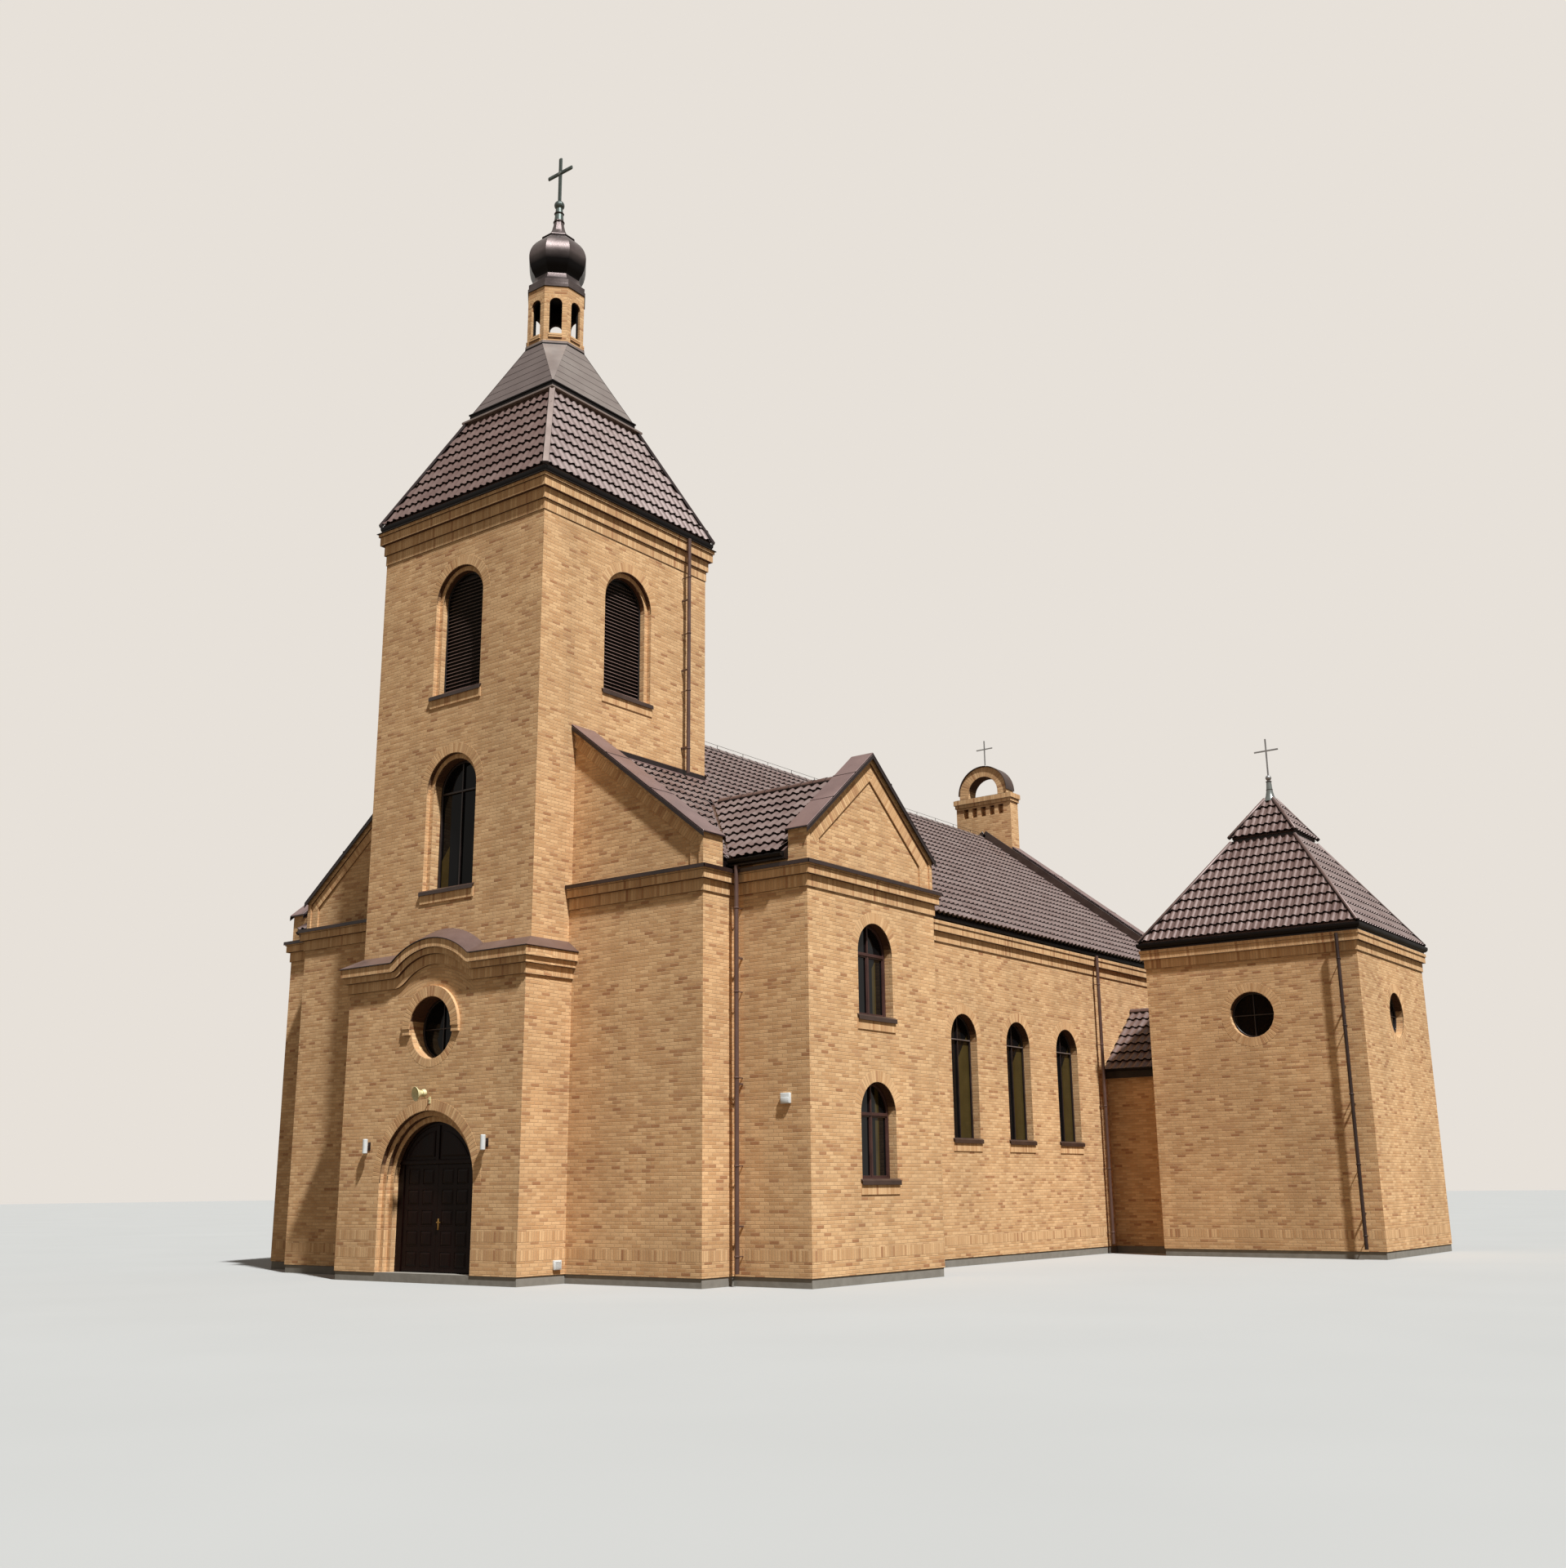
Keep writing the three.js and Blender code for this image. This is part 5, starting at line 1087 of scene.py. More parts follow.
def drip(points, inner):
    pieces = [drawn([(x, y, DRIP_Z) for x, y in points + inner[::-1]], (0, 0, DRIP_THICK), 0.004)]
    for (x0, y0), (x1, y1) in zip(points, points[1:]):
        along = Vector((x1 - x0, y1 - y0, 0)).normalized()
        out = Vector((along.y, -along.x, 0)) * 0.012
        start, end = Vector((x0, y0, DRIP_Z - DRIP_LIP)), Vector((x1, y1, DRIP_Z - DRIP_LIP))
        pieces.append(drawn([start, end, end - out, start - out], (0, 0, DRIP_LIP + 0.004)))
    return join(pieces)


front_run = [(2.915, 1.175 - DRIP_OUT), (6.93 + DRIP_OUT, 1.175 - DRIP_OUT), (6.93 + DRIP_OUT, 2.19)]
front_inner = [(2.915, 1.178), (6.927, 1.178), (6.927, 2.19)]
bay_run = [(6.96, 2.205 - DRIP_OUT), (8.96 + DRIP_OUT, 2.205 - DRIP_OUT),
           (8.96 + DRIP_OUT, 7.28 + DRIP_OUT), (6.96, 7.28 + DRIP_OUT)]
bay_inner = [(6.96, 2.208), (8.957, 2.208), (8.957, 7.277), (6.96, 7.277)]
end_run = [(6.93 + DRIP_OUT, 25.76), (6.93 + DRIP_OUT, 26.25 + DRIP_OUT), (0.0, 26.25 + DRIP_OUT)]
end_inner = [(6.927, 25.76), (6.927, 26.247), (0.0, 26.247)]
sheets = [drip(front_run, front_inner), drip(bay_run, bay_inner), drip(end_run, end_inner)]
put(both_sides(join(sheets)), "cornice_drips", dark_pipe)
print("cornice sheets at", DRIP_Z, "m")

# %% [markdown]
# The gutters of the two towers are square rings with a rounded foot: the outer bottom edges of a ring are
# picked and bevelled. Those of the bays and the link are half tubes.

# %% Gutters
GUTTER_WIDE, GUTTER_TALL = 0.11, 0.155


def square_gutter(middle, reach_x, reach_y, low):
    gutter = ring_of(level_box(middle, reach_x, reach_y, low), GUTTER_WIDE, (0, 0, GUTTER_TALL))
    edit(gutter, "EDGE")

    def on_outside(corner):
        across = abs(abs(corner.co.x - middle[0]) - reach_x), abs(abs(corner.co.y - middle[1]) - reach_y)
        return corner.co.z < low + 0.001 and min(across) < 0.001

    pick(lambda e: all(on_outside(corner) for corner in e.verts) and e.calc_length() > 0.5)
    soften(GUTTER_TALL * 0.7, 4)
    done()
    return gutter


tower_gutter = square_gutter(TOWER_MIDDLE, 2.91 + 0.155, 3.005 + 0.155, 18.73)
side_gutter = square_gutter(SIDE_MIDDLE, 3.28, 3.28, 8.70)
put(join([tower_gutter, side_gutter]), "square_gutters", gutter_metal, smooth=40)


def round_gutter(start, end, radius=0.075):
    let_go()
    bpy.ops.mesh.primitive_cylinder_add(vertices=16, radius=radius, rotation=(0, math.pi / 2, 0),
                                        depth=(Vector(end) - Vector(start)).length)
    gutter = settle(bpy.context.object)
    edit(gutter)
    bpy.ops.mesh.bisect(plane_co=(0, 0, 0.004), plane_no=(0, 0, 1), clear_outer=True)
    done()
    modify(gutter, "SOLIDIFY", thickness=0.006, offset=0)
    return aim(gutter, start, end, (0, 0, 1))


BAY_GUTTER_Z = 8.97
bay_gutter = round_gutter((6.98, 2.0, BAY_GUTTER_Z), (8.44, 2.0, BAY_GUTTER_Z))
back_gutter = round_gutter((7.02, 7.485, BAY_GUTTER_Z), (8.44, 7.485, BAY_GUTTER_Z))
link_gutters = [round_gutter((6.98, y, 5.36), (9.02, y, 5.36), 0.06) for y in (20.08, 24.72)]
gutters = join([both_sides(join([bay_gutter, back_gutter]))] + link_gutters)
put(gutters, "round_gutters", gutter_metal, smooth=40)
print("gutters:", triangles(gutters), "triangles")

# %% [markdown]
# ## The upper tower roof
# Above the tiles the roof is smooth sheet. Four broad faces carry faint level seams about 0.3 m apart,
# and the corners are cut by plain triangles. A seam is a very thin bar laid across a face, as long as the
# face is wide at that height. Below them a dark folded band closes the roof, with a light lip at its foot.

# %% Seams and foot of the upper tower roof
UPPER_LOW, UPPER_HIGH, LOW_HALF, HIGH_HALF, SEAMS = 22.32, 24.18, 1.55, 0.79, 6
EIGHTH = math.tan(math.pi / 8)
seams = []
for number in range(1, SEAMS + 1):
    part = number / (SEAMS + 1)
    z = UPPER_LOW + part * (UPPER_HIGH - UPPER_LOW)
    out = LOW_HALF + part * (HIGH_HALF - LOW_HALF) + 0.004
    reach = LOW_HALF * (1 - part) + HIGH_HALF * EIGHTH * part
    seam = bar((-reach, -out, z), (reach, -out, z), 0.014, 0.004, (0, -0.93, 0.38), 0.001)
    seams.append(on_walls(seam, [(turn, *TOWER_MIDDLE) for turn in (0, 90, 180, 270)]))
for sx, sy in CORNERS:
    low = (sx * LOW_HALF, sy * LOW_HALF + TOWER_MIDDLE[1], UPPER_LOW)
    for x, y in ((sx * HIGH_HALF, sy * HIGH_HALF * EIGHTH), (sx * HIGH_HALF * EIGHTH, sy * HIGH_HALF)):
        seams.append(bar(low, (x, y + TOWER_MIDDLE[1], UPPER_HIGH), 0.02, 0.008, (sx, sy, 0.6), 0.002))
put(join(seams), "upper_roof_seams", roof_sheet)


def square_band(half, low, high, width):
    return ring_of(level_box(TOWER_MIDDLE, half, half, low), width, (0, 0, high - low), 0.004)


put(join([square_band(1.575, 22.10, 22.30, 0.024), square_band(1.60, 22.285, 22.325, 0.04)]),
    "roof_fascia", gutter_metal)
put(square_band(1.725, 22.03, 22.085, 0.15), "fascia_lip", edge_metal)
print("seams on the upper roof:", len(seams))

# %% [markdown]
# ## Bricks around the openings
# Every arch is turned in bricks that stand on end and point to its middle, and every sill is a row of
# bricks on end below a metal tray. One brick with softened front edges is modelled, then spun round the
# middle of the arch with duplicates. A thin ring of mortar behind fills the joints.

# %% Arches of single bricks
JOINT, PROUD, ARCH_STEP = 0.008, 0.003, 0.0765


def one_brick(low, high):
    brick = block(low, high)
    edit(brick, "EDGE")
    pick(lambda e: all(v.co.y < low[1] + 0.0005 for v in e.verts))
    soften(0.003)
    done()
    return brick


def arc_outline(inner, outer, middle, first, last, steps=24):
    x, z = middle

    def spot(radius, degrees):
        angle = math.radians(degrees)
        return x + radius * math.cos(angle), z + radius * math.sin(angle)

    turns = [first + (last - first) * number / steps for number in range(steps + 1)]
    return [spot(outer, turn) for turn in turns] + [spot(inner, turn) for turn in reversed(turns)]


def brick_arch(radius, deep, middle, first=0, last=180, face=0.0, thick=0.03):
    x, z = middle
    sweep = math.radians(last - first)
    count = max(3, round(sweep * radius / ARCH_STEP))
    pitch = sweep / count
    width = radius * pitch - JOINT
    brick = one_brick((x + radius + 0.004, face - PROUD, z - width / 2),
                      (x + radius + deep - 0.004, face + thick, z + width / 2))
    start = math.radians(first) + pitch / 2
    brick.matrix_world = (Matrix.Translation((x, 0, z)) @ Matrix.Rotation(-start, 4, "Y")
                          @ Matrix.Translation((-x, 0, -z)))
    settle(brick)
    spin_copies(brick, count - 1, pitch * (count - 1), (x, 0, z), (0, 1, 0))
    outline = arc_outline(radius, radius + deep, middle, first, last)
    return brick, drawn([(px, face - 0.001, pz) for px, pz in outline], (0, thick, 0))


def brick_row(x0, x1, z0, z1, face=0.0, thick=0.03):
    count = max(1, round((x1 - x0) / COURSE))
    pitch = (x1 - x0) / count
    brick = one_brick((x0 + JOINT / 2, face - PROUD, z0 + 0.004),
                      (x0 + pitch - JOINT / 2, face + thick, z1 - 0.004))
    row_of(brick, count, (pitch, 0, 0))
    return brick, block((x0, face - 0.001, z0), (x1, face + thick, z1), 0.002)


print("joints between loose bricks:", JOINT, "m")

# %% [markdown]
# The windows differ in width and height but are dressed alike, so each kind is dressed once, facing the
# reader, and turned on to its walls. The tower windows have a second, shallower recess around them, whose
# bricks stand flush with the wall.

# %% Brick dressings of the windows
ARCH_DEEP, STEP_DEEP, SILL_DEEP, SILL_DROP, SILL_OVER = 0.25, 0.12, 0.231, 0.07, 0.06
FRONT_SPOT = [(0, 0, 0)]
BELFRY_SPOTS = [(0, 0, 0), (90, 2.91, 3.005), (180, 0, 6.01), (270, -2.91, 3.005)]
BAY_SPOTS = [(90, 8.96, BAY_MIDDLE), (270, -8.96, BAY_MIDDLE)]
NAVE_SPOTS = [(degrees, x, y) for degrees, x in ((90, 6.93), (270, -6.93)) for y in (11.94, 14.875, 17.81)]
# places, half width, crown, sill, second recess or not
WINDOWS = [(BELFRY_SPOTS, 0.85, 17.1, 13.8, True), (FRONT_SPOT, 0.88, 12.24, 8.91, True),
           (BAY_SPOTS, 0.685, 7.70, 5.61, False), (BAY_SPOTS, 0.685, 4.20, 2.11, False),
           (NAVE_SPOTS, 0.665, 6.4, 3.14, False)]
arches, beds = [], []
for spots, half, crown, sill, stepped in WINDOWS:
    middle = (0, crown - half)
    pairs = [brick_arch(half, ARCH_DEEP, middle),
             brick_row(-half - SILL_OVER, half + SILL_OVER, sill - SILL_DROP - SILL_DEEP,
                       sill - SILL_DROP, -0.02, 0.05)]
    if stepped:
        pairs.append(brick_arch(half - STEP_DEEP, STEP_DEEP, middle, face=STEP_DEEP))
    for kept, pieces in zip((arches, beds), zip(*pairs)):
        kept.append(on_walls(join(pieces), spots))
window_bricks = put(join(arches), "window_bricks", loose_brick)
put(join(beds), "window_mortar", mortar)
print("window bricks:", triangles(window_bricks), "triangles")

# %% [markdown]
# ## The round windows, the doorway and the ring on the far gable
# A round window is the same ring of bricks carried all the way round. Over the porch window the upper
# half is doubled by a hood that stands out and ends on two small blocks. The doorway has three stepped
# orders, each its own ring.

# %% Rings around round windows and the doorway
PORCH_FACE = -0.26
rings, ring_beds = [], []


def keep_ring(pair, spots=FRONT_SPOT):
    for kept, piece in zip((rings, ring_beds), pair):
        kept.append(on_walls(piece, spots))


keep_ring(brick_arch(0.713, 0.187, (0, 5.62), 180, 360, PORCH_FACE))
keep_ring(brick_arch(0.713, 0.25, (0, 5.62), 0, 180, PORCH_FACE - 0.075, 0.08))
SIDE_SPOTS = [(0, 12.135, 19.01), (90, 15.22, 22.095), (180, 12.135, 25.18)]
keep_ring(brick_arch(0.64, 0.25, (0, 6.57), 0, 360), SIDE_SPOTS)
for order in range(3):
    keep_ring(brick_arch(1.59 - STEP_DEEP * order, STEP_DEEP if order else ARCH_DEEP, (0, 2.16),
                         face=PORCH_FACE + STEP_DEEP * order))
keep_ring(brick_arch(0.62, 0.36, (0, 16.25), 0, 180), [(0, 0, 25.74), (180, 0, 26.26)])
ring_bricks = put(join(rings), "ring_bricks", loose_brick)
put(join(ring_beds), "ring_mortar", mortar)
print("ring bricks:", triangles(ring_bricks), "triangles")

# %% [markdown]
# ## Raking bands on the gables
# Under the caps a band of bricks stands square to the slope. A row is laid level and then tilted along
# the gable.

# %% Raking bands
BAND_MARGIN, BAND_IN = 0.205, 0.035


def raking_band(height_at, near, far, deep, wall):
    slope = math.atan2(height_at(far) - height_at(near), far - near)
    pair = brick_row(0, (far - near) / math.cos(slope), -deep, 0, 0.0, 0.02)
    start = (near, wall + BAND_IN, height_at(near) - BAND_MARGIN)
    for piece in pair:
        piece.matrix_world = Matrix.Translation(start) @ Matrix.Rotation(-slope, 4, "Y")
        settle(piece)
    return pair


bands, band_beds = [], []
for height_at, near, far, deep, wall, spot in (
        (nave_line, 3.09, 6.75, 0.235, 1.175, (0, 0, 0)), (nave_line, 1.36, 6.75, 0.235, -26.25, (180, 0, 0)),
        (bay_line, 0.22, 2.38, 0.32, -8.96, (90, 0, BAY_MIDDLE))):
    for piece, kept in zip(raking_band(height_at, near, far, deep, wall), (bands, band_beds)):
        both_sides(piece)
        turned(piece, *spot)
        kept.append(both_sides(piece) if spot[0] == 90 else piece)
raking = put(join(bands), "raking_bricks", loose_brick)
put(join(band_beds), "raking_mortar", mortar)
print("raking bricks:", triangles(raking), "triangles")

# %% [markdown]
# ## Window frames
# The panes of the CAD model sit a quarter of a metre inside the wall. A painted frame runs round each
# pane, with a rail across the foot of the arch and a post down the middle. The frame is one arched
# outline: its inside is cut away by an inset, and what is left is pushed out to its depth.

# %% Arched frames with a rail and a post
def arch_points(half, sill, crown, y, steps=20):
    spring = crown - half
    turns = [math.pi * number / steps for number in range(steps + 1)]
    return [(-half, y, sill), (half, y, sill)] + [
        (half * math.cos(turn), y, spring + half * math.sin(turn)) for turn in turns]


def round_points(radius, z, y, steps=40):
    turns = [2 * math.pi * number / steps for number in range(steps)]
    return [(radius * math.cos(turn), y, z + radius * math.sin(turn)) for turn in turns]


def frame_parts(half, sill, crown, glass_y, width=0.065, deep=0.05, rail=0.07, post=0.045, sash=True):
    front = glass_y - deep
    spring = crown - half
    parts = [ring_of(arch_points(half, sill, crown, front), width, (0, deep, 0), 0.006)]
    if rail:
        parts.append(block((-half + width, front - 0.006, spring - rail / 2),
                           (half - width, glass_y, spring + rail / 2), 0.006))
    parts.append(block((-post / 2, front + 0.004, sill + width), (post / 2, glass_y, crown - width), 0.005))
    if sash:
        for side in (-1, 1):
            left, right = sorted((side * post / 2, side * (half - width)))
            outline = upright_box(left, right, sill + width, spring - rail / 2, front + 0.016)
            parts.append(ring_of(outline, 0.035, (0, 0.03, 0), 0.004))
    return join(parts)


bay_frames = [on_walls(frame_parts(0.685, sill, crown, 0.25), BAY_SPOTS)
              for sill, crown in ((5.61, 7.70), (2.11, 4.20))]
put(join(bay_frames), "bay_window_frames", frame_paint)
nave_frames = on_walls(frame_parts(0.665, 3.14, 6.4, 0.25, 0.055, 0.05, 0.0, 0.03, False), NAVE_SPOTS)
put(nave_frames, "nave_window_frames", dark_paint)
nave_rails = on_walls(block((-0.61, 0.185, 5.722), (0.61, 0.25, 5.750), 0.004), NAVE_SPOTS)
put(nave_rails, "nave_window_rails", grey_paint)
tall_frame = frame_parts(0.76, 8.91, 12.12, 0.40, 0.06, 0.05, 0.05, 0.04, False)
put(tall_frame, "tower_window_frame", dark_paint)
print("arched frames: 4 on the bays, 6 on the nave, 1 on the tower")

# %% [markdown]
# Round windows have a round frame with a thin cross of bars. The one over the doorway is deep in its
# reveal, the three of the side tower are alike and turned on to their walls.

# %% Round frames
def round_frame(radius, z, glass_y, width=0.05, deep=0.045, thin=0.028):
    front = glass_y - deep
    reach = radius - width / 2
    return join([ring_of(round_points(radius, z, front), width, (0, deep, 0), 0.005),
                 block((-reach, front + 0.008, z - thin / 2), (reach, glass_y, z + thin / 2), 0.004),
                 block((-thin / 2, front + 0.01, z - reach), (thin / 2, glass_y, z + reach), 0.004)])


round_frames = [round_frame(0.713, 5.62, 0.13), on_walls(round_frame(0.64, 6.57, 0.25), SIDE_SPOTS)]
put(join(round_frames), "round_window_frames", dark_paint)
print("round frames: 1 over the doorway, 3 on the side tower")

# %% [markdown]
# ## Sills
# Under each window a folded sheet tray carries rain past the row of bricks on end. It slopes down to the
# front and its edge is turned down. The sheet is drawn in profile and pushed along the wall. Inside the
# recess a flat sheet reaches back to the frame.

# %% Sill trays
TRAY_OUT, TRAY_OVER, TRAY_FOLD = 0.062, 0.07, 0.014


def sill_tray(half, z):
    profile = [(0.0, z + 0.035), (-TRAY_OUT, z - 0.004), (-TRAY_OUT, z - 0.094),
               (TRAY_FOLD - TRAY_OUT, z - 0.100), (TRAY_FOLD - TRAY_OUT, z - 0.022), (0.0, z + 0.012)]
    return drawn([(-half - TRAY_OVER, y, height) for y, height in profile],
                 (2 * (half + TRAY_OVER), 0, 0), 0.003)


trays = [on_walls(sill_tray(half, sill), spots) for spots, half, crown, sill, stepped in WINDOWS]
for spots, half, deep, low, high in (
        (BAY_SPOTS, 0.68, 0.2, 5.612, 5.642), (BAY_SPOTS, 0.68, 0.2, 2.112, 2.142),
        (NAVE_SPOTS, 0.66, 0.2, 3.142, 3.172), (BELFRY_SPOTS, 0.725, 0.25, 13.812, 13.835),
        (FRONT_SPOT, 0.755, 0.35, 8.912, 8.94)):
    trays.append(on_walls(block((-half, 0.0, low), (half, deep, high), 0.004), spots))
sills = put(join(trays), "window_sills", sill_metal)
print("sills:", triangles(sills), "triangles")

# %% [markdown]
# ## Louvres of the belfry
# Each belfry opening is closed by a shutter of some thirty sloping slats in a dark frame. A slat is a thin
# bar laid across the opening and tipped forward, and under the arch each one is as long as the arch is
# wide at its height.

# %% Slats and their frame
LOUVRE_HALF, LOUVRE_SILL, LOUVRE_CROWN, SLAT_STEP = 0.73, 13.835, 16.98, 0.094
slats = []
height = LOUVRE_SILL + 0.06
while height < LOUVRE_CROWN - 0.08:
    above = max(0.0, height - (LOUVRE_CROWN - LOUVRE_HALF))
    reach = math.sqrt(max(0.01, (LOUVRE_HALF - 0.03) ** 2 - above ** 2))
    slats.append(bar((-reach, 0.305, height), (reach, 0.305, height), 0.085, 0.014, (0, -0.64, 0.77), 0.0))
    height += SLAT_STEP
louvre_frame = ring_of(arch_points(LOUVRE_HALF, LOUVRE_SILL, LOUVRE_CROWN, 0.255), 0.04, (0, 0.085, 0),
                       0.005)
louvres = put(on_walls(join(slats + [louvre_frame]), BELFRY_SPOTS), "belfry_slats", louvre_paint)
# painted shade: a near-black sheet behind the slats stands for the unlit inside of the belfry
shade_sheet = drawn(arch_points(LOUVRE_HALF, LOUVRE_SILL, LOUVRE_CROWN, 0.345), (0, 0.012, 0))
shade_sheets = put(on_walls(shade_sheet, BELFRY_SPOTS), "belfry_shade_sheet", louvre_shade)
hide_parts("belfry_louvre_front", "belfry_louvre_right")
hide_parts("belfry_louvre_back", "belfry_louvre_left")
print("slats in each opening:", len(slats), "triangles in all:", triangles(louvres))

# %% [markdown]
# ## The entrance doors
# Each leaf has two columns of five sunk panels. On the real doors every sunk panel holds a raised field
# with sloping edges inside a thin bead. One panel is modelled, and arrays lay it out over the leaf. The
# pieces ride on their leaf, so they swing with it.

# %% Raised fields and beads of one leaf
PANEL_LEFT, PANEL_WIDE, PANEL_STEP = 0.134, 0.398, 0.488
PANEL_FOOT, PANEL_TALL, PANEL_RISE = 0.305, 0.361, 0.451


def raise_field(inset, rise):
    pick(lambda face: face.normal.y < -0.9)
    bpy.ops.mesh.inset(thickness=inset)
    bpy.ops.transform.translate(value=(0, -rise, 0))
    done()


def leaf_panels():
    left, right = PANEL_LEFT, PANEL_LEFT + PANEL_WIDE
    foot, top = PANEL_FOOT, PANEL_FOOT + PANEL_TALL
    field = block((left + 0.03, 0.139, foot + 0.03), (right - 0.03, 0.152, top - 0.03))
    edit(field)
    raise_field(0.035, 0.010)
    bead = ring_of(upright_box(left, right, foot, top, 0.1325), 0.02, (0, 0.018, 0), 0.005)
    panel = join([field, bead])
    row_of(panel, 2, (PANEL_STEP, 0, 0))
    return row_of(panel, 5, (0, 0, PANEL_RISE))


right_panels = leaf_panels()
left_panels = both_sides(twin(right_panels))
edit(left_panels)
pick(lambda face: face.calc_center_median().x > 0)
bpy.ops.mesh.delete(type="FACE")
done()
put(right_panels, "door_panels_right", door_wood, "leaf_right")
put(left_panels, "door_panels_left", door_wood, "leaf_left")
print("panel pieces:", triangles(right_panels), "triangles on each leaf")

# %% Handle plate and lever, kick rails
plate = block((0.044, 0.123, 1.126), (0.094, 0.1345, 1.374), 0.006, 2)
lever = block((0.057, 0.070, 1.278), (0.192, 0.094, 1.302), 0.008, 2)
rose = rod((0.069, 0.094, 1.29), (0.069, 0.124, 1.29), 0.019, 16, (0, 0, 1))
keyhole = rod((0.069, 0.119, 1.19), (0.069, 0.124, 1.19), 0.011, 12, (0, 0, 1))
put(join([plate, lever, rose, keyhole]), "door_handle", brass, "leaf_right", smooth=40)
kick_right = block((0.03, 0.1305, 0.225), (1.125, 0.136, 0.30), 0.002)
kick_left = block((-1.125, 0.1305, 0.225), (-0.03, 0.136, 0.30), 0.002)
put(kick_right, "door_kick_right", door_wood, "leaf_right")
put(kick_left, "door_kick_left", door_wood, "leaf_left")
print("handle on the right leaf, a rail at the foot of each")

# %% [markdown]
# Above the leaves the arch is filled by a fixed head with a heavy rail, a post and two curved panels.

# %% The arched head over the doors
HEAD_FOOT, HEAD_SPRING = 2.60, 2.16


def head_points(radius, foot, y, side=0, gap=0.0, steps=18):
    start = math.asin((foot - HEAD_SPRING) / radius)
    end = math.acos(gap / radius) if side else math.pi - start
    turns = [start + (end - start) * number / steps for number in range(steps + 1)]
    points = [(radius * math.cos(turn), y, HEAD_SPRING + radius * math.sin(turn)) for turn in turns]
    return [(side * x, y, z) for x, _, z in points + [(gap, y, foot)]] if side else points


head = [ring_of(head_points(1.34, HEAD_FOOT, 0.085), 0.075, (0, 0.03, 0), 0.008),
        block((-1.33, 0.075, 2.572), (1.33, 0.112, 2.655), 0.010),
        block((-0.045, 0.08, 2.64), (0.045, 0.112, 3.44), 0.008)]
for side in (1, -1):
    field = flat_face(head_points(1.16, 2.73, 0.109, side, 0.115))
    edit(field)
    push_out((0, -0.012, 0))
    raise_field(0.04, 0.012)
    head.append(field)
door_head = put(join(head), "door_head", door_wood)
print("door head:", triangles(door_head), "triangles")

# %% [markdown]
# ## Fittings on the walls
# Two lamps shine up and down the front beside the doorway, a small horn speaker hangs above it, and two
# pale boxes sit on the walls. They are small but catch the eye on plain brick, and their long shadows tell
# where the sun is.

# %% Lamps beside the doorway
def wall_lamp(x):
    y = PORCH_FACE - 0.125
    tube = rod((x, y, 2.83), (x, y, 3.16), 0.058, 20, (0, 1, 0))
    edit(tube)
    pick(lambda face: abs(face.normal.z) > 0.9 and len(face.verts) > 8)
    bpy.ops.mesh.inset(thickness=0.008)
    bpy.ops.mesh.extrude_region_shrink_fatten(TRANSFORM_OT_shrink_fatten={"value": -0.02})
    done()
    return tube


def lamp_arm(x):
    arm = block((x - 0.022, PORCH_FACE - 0.07, 2.955), (x + 0.022, PORCH_FACE - 0.004, 3.035), 0.006)
    plate = block((x - 0.045, PORCH_FACE - 0.012, 2.90), (x + 0.045, PORCH_FACE + 0.002, 3.09), 0.006, 2)
    return join([arm, plate])


put(join([wall_lamp(2.0), wall_lamp(-2.0)]), "wall_lamps", white_plastic, smooth=40)
put(join([lamp_arm(2.0), lamp_arm(-2.0)]), "lamp_arms", dark_paint, smooth=40)
print("lamps at 2 m on either side")

# %% [markdown]
# The speaker is a folded horn: a flared mouth with a rim and a smaller driver at the back. A circle is
# spun round the axis in steps of radius, which gives the flare.

# %% Horn speaker
def lathe(profile, sides=24):
    let_go()
    bpy.ops.mesh.primitive_circle_add(vertices=len(profile), radius=1, fill_type="NOTHING")
    piece = bpy.context.object
    for corner, (radius, distance) in zip(piece.data.vertices, profile):
        corner.co = (radius, 0, distance)
    edit(piece, "EDGE")
    bpy.ops.mesh.spin(steps=sides, angle=2 * math.pi, center=(0, 0, 0), axis=(0, 0, 1))
    bpy.ops.mesh.select_all(action="SELECT")
    bpy.ops.mesh.remove_doubles(threshold=0.0004)
    turn_out()
    done()
    return piece


horn = lathe([(0.145, 0.0), (0.145, 0.012), (0.09, 0.07), (0.055, 0.13), (0.05, 0.14), (0.05, 0.15),
              (0.072, 0.155), (0.075, 0.215), (0.062, 0.235), (0.001, 0.24), (0.001, 0.16), (0.03, 0.145),
              (0.03, 0.12), (0.075, 0.065), (0.13, 0.006)])
aimed = Matrix.Rotation(math.radians(-12), 4, "Z") @ Matrix.Rotation(math.radians(-82), 4, "X")
horn.matrix_world = Matrix.Translation((0.01, PORCH_FACE - 0.40, 4.10)) @ Matrix.Scale(1.12, 4) @ aimed
settle(horn)
put(horn, "horn_speaker", cream_plastic, smooth=35)
bracket = join([bar((0.04, PORCH_FACE - 0.22, 4.06), (0.05, PORCH_FACE - 0.01, 3.98), 0.03, 0.006,
                    edge=0.001),
                block((0.015, PORCH_FACE - 0.012, 3.90), (0.085, PORCH_FACE + 0.002, 4.05), 0.003)])
put(bracket, "horn_bracket", cream_plastic)
print("horn:", triangles(horn), "triangles")

